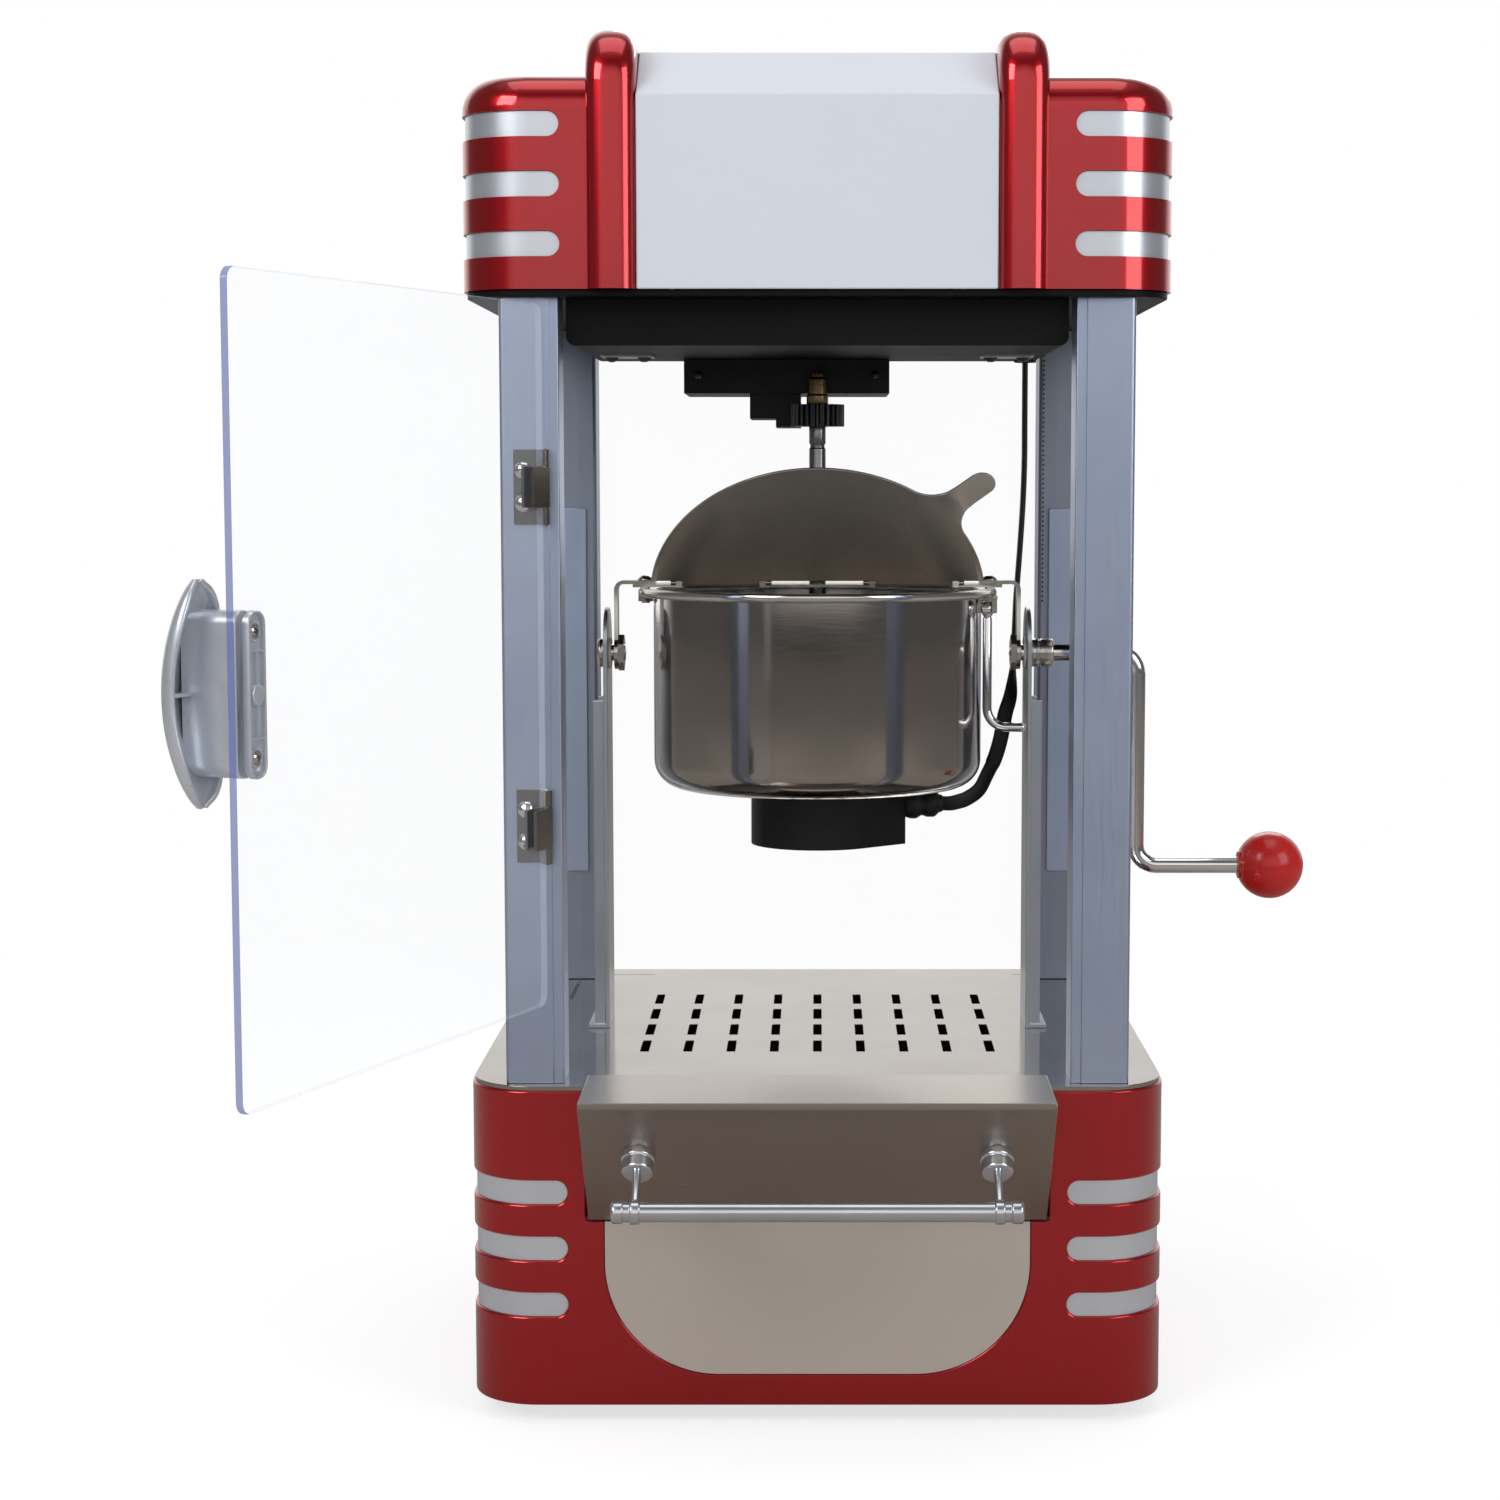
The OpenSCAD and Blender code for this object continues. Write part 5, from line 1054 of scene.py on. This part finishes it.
# %% Clips and hinges
CLIP_X, CLIP_Y, CLIP_LOW = 87.5, -41, 468.8
clip = [(23.4, 21.4, 1.7, CLIP_LOW), (24, 22, 2, 469.1), (24, 22, 2, 470)]
clip_screws = [((x + d, CLIP_Y, CLIP_LOW), (0, 0, -1), 3.2) for x in (-CLIP_X, CLIP_X) for d in (-7.5, 7.5)]
from_parts("ceiling_clip_plates", "ceiling_clips", [prism(clip, (x, CLIP_Y, 0)) for x in (-CLIP_X, CLIP_X)],
           smooth=40)
cabinet_screws("ceiling_clip_screws", clip_screws, "gear_steel", 7)

HINGE_Z, SKIN_Y, LEAF_HALF, ROLL, LEAF_T, CURL_R = (409.5, 263.5), -143.6, 16, 7, 1.2, 1.8


def strip(path, t, z0, z1):
    """Sheet of thickness t that follows a path in plan, from z0 to z1."""
    h, t, c = (z1 - z0) / 2, t / 2, 0.15
    outline = [(h, c - t), (h, t - c), (h - c, t), (c - h, t)]
    outline += [(-a, -b) for a, b in outline]
    line = [(x, y, (z0 + z1) / 2) for x, y in path]
    return skin(rings_along(line, lambda k: outline, lambda k: (0, 0, 1)))


flat_part = [(-130, SKIN_Y), (-123, SKIN_Y), (-115.5, SKIN_Y), (-114.9, SKIN_Y)]
curl = [(-116.8, SKIN_Y), (-115.9, SKIN_Y - 0.1), (-115.2, SKIN_Y - 0.6), (-114.95, SKIN_Y - 1.5),
        (-114.9, -146.6)]
curl += [(PIN_X + CURL_R * math.cos(a), PIN_Y + CURL_R * math.sin(a))
         for a in np.linspace(0, -math.radians(285), 20)]
leaves, leaf_screws = [], []
for zc in HINGE_Z:
    leaves.append(strip(flat_part, LEAF_T, zc - LEAF_HALF, zc + LEAF_HALF))
    leaves += [strip(curl, LEAF_T - 0.02, z, z + ROLL) for z in (zc - LEAF_HALF, zc + LEAF_HALF - ROLL)]
    leaf_screws += [((-125.7, SKIN_Y - LEAF_T / 2, zc + d), (0, -1, 0), 3.9) for d in (-7, 7)]
from_parts("hinge_leaves_rolled", "hinge_leaves", leaves, smooth=40, finish="hinge_nickel_dark_reflection")
cabinet_screws("hinge_leaf_screws", leaf_screws, "chrome_rod", 11)
pin_line = [(0, -16.5), (1.2, -16.5, 0.5), (1.2, 16.5, 0.5), (0, 16.5)]
turned("hinge_pins_turned", "hinge_pins", 24, 3, *[(pin_line, (PIN_X, PIN_Y, z)) for z in HINGE_Z])
print("clips and hinges made")

# %% [markdown]
# ## The door
# The door is one clear sheet with rounded corners and a small chamfer all round. Its faces store how much
# of the sheet's width one looks through: none on the two large faces, all of it on the free edge, and
# little elsewhere.

# %% Door panel
PANEL_FROM, PANEL_TO, CHAMFERED, FULL = 3.4, 238, (234.0, 299.4, 4.7), (234.6, 300, 5)
panel = prism([(*CHAMFERED, -DOOR_T), (*FULL, -1.2), (*FULL, 1.2), (*CHAMFERED, DOOR_T)])
bmesh.ops.transform(panel, matrix=door_place @ Matrix.Translation(((PANEL_FROM + PANEL_TO) / 2, 0, 0)) @
                    Matrix.Rotation(math.pi / 2, 4, "X"), verts=panel.verts)
edge_layer = panel.faces.layers.float.new("edge")
panel.normal_update()
free_side = door_place @ Vector((PANEL_TO, 0, 0))
for face in panel.faces:
    near = (face.calc_center_median() - free_side).to_2d().length < 4
    face[edge_layer] = 0.0 if len(face.verts) > 8 else (1.0 if near else 0.22)
stand_for(to_object("door_panel_cut", panel, 30), "door_panel")

grip_screws = [(door_place @ Vector((PLATE_S, 2.3, z)), door_place.to_3x3() @ Vector((0, 1, 0)), 2.5)
               for z in (-PLATE_SCREW_Z, PLATE_SCREW_Z)]
stand_for(joined("door_screws_set", [screws(grip_screws, "nickel_steel", 2)], 40), "door_screws")
print("door made")

# %% [markdown]
# ## The drawer's bar
# A round bar stands off the sloping apron on two posts. Each post has a turned foot and a thin web, and
# the bar has a collar at each post and a cap at each end. It is built in the apron's own axes and then
# placed.

# %% Drawer bar
APRON_Y, APRON_Z, APRON_IN, APRON_FALL, BAR_AT = -203, 151.9, 51.5, 60.4, 0.4
BAR_OFF, POST_X = 29, 76
apron_place = (Matrix.Translation((0, APRON_Y + BAR_AT * APRON_IN, APRON_Z - BAR_AT * APRON_FALL))
               @ Matrix.Rotation(math.pi - math.atan2(APRON_FALL, APRON_IN), 4, "X"))
half = [(4.3, 74, 0.2), (5.3, 74, 0.6), (5.3, 78, 0.6), (4.3, 78, 0.2), (4.3, 81, 0.2), (5.0, 81, 0.5),
        (5.0, 86, 1.4), (0, 86)]
bar_line = [(r, -h, *c) for r, h, *c in reversed(half)] + half
bar = [spun_part(bar_line, "satin_aluminium", (0, 0, BAR_OFF), "X", 48, 4)]
post_foot = [(0, 0), (7.4, 0, 0.3), (7.4, 3.4, 0.9), (6.7, 4.2, 0.4), (6.7, 10, 1.2), (0, 10)]
for x in (-POST_X, POST_X):
    bar.append(spun_part(post_foot, "satin_aluminium", (x, 0, 0), "Z", 48, 4))
    bar.append(prism([(3.8, 9.4, 1.6, 9.5), (3, 8, 1.2, 11), (3, 8, 1.2, BAR_OFF - 3)], (x, 0, 0)))
from_parts("drawer_bar_turned", "drawer_bar", bar, place=apron_place)
print("bar made")

# %% [markdown]
# ## Small repeats and the last plain nodes
# A row of punched holes runs up the inner edge of the right rear pillar. Each is a black disc on the
# pillar, painted shade for the dark inside of the hole. The row is a line of points with a disc on each,
# from a third small tree. The coil under the pot is turned, and the last sheet and gear nodes are softened
# like the others.

# %% Punched dots and the rest
DOT_X, DOT_Y, DOT_LOW, DOT_HIGH = 0.1174, 0.1179, 0.35, 0.484
puncher, PUNCH, start, end = new_tree("row_of_dots", "Path", ("Pitch", "Float"), ("Dot radius", "Float"))
line = node_in(puncher, "GeometryNodeMeshToCurve")
every = node_in(puncher, "GeometryNodeResampleCurve")
every.mode = "LENGTH"
disc = node_in(puncher, "GeometryNodeMeshCylinder", Vertices=10, Depth=0.0003)
lay = node_in(puncher, "GeometryNodeInstanceOnPoints", Rotation=(math.pi / 2, 0, 0))
real = node_in(puncher, "GeometryNodeRealizeInstances")
finished = node_in(puncher, "GeometryNodeSetMaterial")
wire(puncher, (start, "Path", line, "Mesh"), (line, 0, every, "Curve"), (start, "Pitch", every, "Length"),
     (start, "Dot radius", disc, "Radius"), (every, 0, lay, "Points"), (disc, "Mesh", lay, "Instance"),
     (lay, 0, real, 0), (real, 0, finished, "Geometry"), (start, "Finish", finished, "Material"),
     (finished, 0, end, 0))
dot_path = bpy.data.meshes.new("dots")
dot_path.from_pydata([(DOT_X, DOT_Y, DOT_LOW), (DOT_X, DOT_Y, DOT_HIGH)], [(0, 1)], [])
# black discs: painted shade inside the punched holes
dots = grown(dot_path, puncher, PUNCH, Pitch=0.0024, Dot_radius=0.0005, Finish=FINISH["chassis_black"])
wear(joined("pillar_dots", [dots]), "cabinet", "chassis_black")

coil = [(24 + 3.9 * math.cos(a), 262 + 3.9 * math.sin(a)) for a in np.linspace(0, 2 * math.pi, 17)]
disc_line = [(0, 263), (18, 263, 0.4), (18, 266, 0.2), (0, 266)]
coil_parts = [spun_mesh(coil, "element_steel"), spun_mesh(disc_line, "element_steel", steps=48)]
stand_for(joined("heating_coil", coil_parts), "heating_element")
soften(0.2, "deck_plate", "base_slot_strips", "head_slot_strips", "motor_pinion", "agitator_gear")
print("punched dots and softened rest made")

# %% [markdown]
# ## The studio
# The machine stands on a pale floor in a white room. Two large soft boxes light it from the front, left
# and right, and two more from above and from behind. The room's own light fills the shadows. Polished
# steel shows whatever stands round it, so metal reflects a room of its own: a white wall behind, a bright
# screen in front above the floor, a grey ceiling and dim side walls, which give the kettle its dark
# middle and its bright bands.

# %% Studio
def soft_box(name, where, aim_z, size, watts):
    data = bpy.data.lights.new(name, "AREA")
    data.shape, data.size, data.size_y = "RECTANGLE", size[0], size[1]
    data.energy = watts
    ob = put_in_scene(name, data)
    ob.location = where
    ob.rotation_euler = (Vector((0, 0, aim_z)) - Vector(where)).to_track_quat("-Z", "Y").to_euler()


def combine(tree, operation, a, b):
    """One number from two, each an output or a float."""
    node = tree.nodes.new("ShaderNodeMath")
    node.operation = operation
    for socket, value in zip(node.inputs, (a, b)):
        if isinstance(value, float):
            socket.default_value = value
        else:
            link(tree, value, socket)
    return node.outputs[0]


def choose(tree, factor, a, b):
    """One shader or another, by a factor."""
    node = tree.nodes.new("ShaderNodeMixShader")
    for socket, value in zip(node.inputs, (factor, a, b)):
        link(tree, value, socket)
    return node.outputs[0]


def empty_tree(owner):
    owner.use_nodes = True
    owner.node_tree.nodes.clear()
    return owner.node_tree


soft_box("key", (-1.3, -1.5, 1.5), 0.35, (1.0, 1.0), 20)
soft_box("fill", (1.5, -1.3, 1.1), 0.3, (1.0, 1.2), 13)
soft_box("top", (0, -0.1, 2.1), 0.3, (1.4, 1.2), 6)
soft_box("rear", (0.4, 1.8, 1.4), 0.3, (1.2, 0.8), 8)

scene.world = bpy.data.worlds.new("room")
wt = empty_tree(scene.world)
rays = wt.nodes.new("ShaderNodeLightPath").outputs
split = wt.nodes.new("ShaderNodeSeparateXYZ")
wire(wt, (wt.nodes.new("ShaderNodeTexCoord"), "Generated", split, 0))
x, y, z = split.outputs
fill_light = node_in(wt, "ShaderNodeBackground", Color=(0.97, 0.98, 1.0, 1), Strength=0.56).outputs[0]
white = node_in(wt, "ShaderNodeBackground", Color=(1, 1, 1, 1), Strength=1.0).outputs[0]


def rise(value, low, high, top=1.0):
    """A smooth step of a direction, from 0 up to top."""
    return remap(wt, value, (low, high), (0, top), "SMOOTHSTEP")


lit = combine(wt, "MULTIPLY", rise(z, 0.0, 0.07), rise(combine(wt, "MULTIPLY", y, -1.0), 0.68, 0.94))
lit = combine(wt, "MAXIMUM", lit, rise(y, 0.42, 0.85))
lit = combine(wt, "MAXIMUM", lit, rise(z, 0.7, 0.97, 0.4))
sides = combine(wt, "MULTIPLY", combine(wt, "ABSOLUTE", x, 0.0), 0.06)
lit = combine(wt, "MAXIMUM", lit, combine(wt, "ADD", 0.07, sides))
walls = wt.nodes.new("ShaderNodeCombineColor")
for socket, warmth in zip(walls.inputs, (1.0, 0.985, 0.965)):
    link(wt, combine(wt, "MULTIPLY", lit, warmth), socket)
room = wt.nodes.new("ShaderNodeBackground")
link(wt, walls.outputs[0], room.inputs["Color"])
lighting = choose(wt, rays["Is Glossy Ray"], fill_light, room.outputs[0])
lighting = choose(wt, rays["Is Transmission Ray"], lighting, white)
lighting = choose(wt, rays["Is Camera Ray"], lighting, white)
link(wt, lighting, wt.nodes.new("ShaderNodeOutputWorld").inputs["Surface"])

FLOOR, FLOOR_Z = 9, -0.0005
floor_mesh = bpy.data.meshes.new("floor")
floor_mesh.from_pydata([(-FLOOR, -FLOOR, FLOOR_Z), (FLOOR, -FLOOR, FLOOR_Z), (FLOOR, FLOOR, FLOOR_Z),
                        (-FLOOR, FLOOR, FLOOR_Z)], [], [(0, 1, 2, 3)])
floor = put_in_scene("floor", floor_mesh)
paper = bpy.data.materials.new("paper_floor")
pt = empty_tree(paper)
rays = pt.nodes.new("ShaderNodeLightPath").outputs
seen = combine(pt, "MAXIMUM", rays["Is Camera Ray"], rays["Is Transmission Ray"])
lit_paper = pt.nodes.new("ShaderNodeBsdfDiffuse")
two_tone(pt, noise(pt, place(pt), 3, 2), (0.74, 0.74, 0.74), (0.78, 0.78, 0.78), lit_paper.inputs["Color"])
mirrored = node_in(pt, "ShaderNodeBsdfDiffuse", Color=(0.36, 0.33, 0.3, 1)).outputs[0]
unseen = choose(pt, rays["Is Glossy Ray"], lit_paper.outputs[0], mirrored)
shadowed = pt.nodes.new("ShaderNodeAddShader")
wire(pt, (node_in(pt, "ShaderNodeEmission", Strength=0.72), 0, shadowed, 0),
     (node_in(pt, "ShaderNodeBsdfDiffuse", Color=(0.34, 0.34, 0.35, 1)), 0, shadowed, 1))
near_floor = choose(pt, seen, unseen, shadowed.outputs[0])
# the near floor keeps the shadow, and the far floor fades into the white of the room
away = pt.nodes.new("ShaderNodeVectorMath")
away.operation = "LENGTH"
link(pt, place(pt), away.inputs[0])
fade = combine(pt, "MULTIPLY", remap(pt, away.outputs["Value"], (0.3, 1.3), kind="SMOOTHSTEP"), seen)
floor_shader = choose(pt, fade, near_floor, pt.nodes.new("ShaderNodeEmission").outputs[0])
link(pt, floor_shader, pt.nodes.new("ShaderNodeOutputMaterial").inputs["Surface"])
floor_mesh.materials.append(paper)
scene.view_settings.view_transform = "Standard"
print("studio ready")
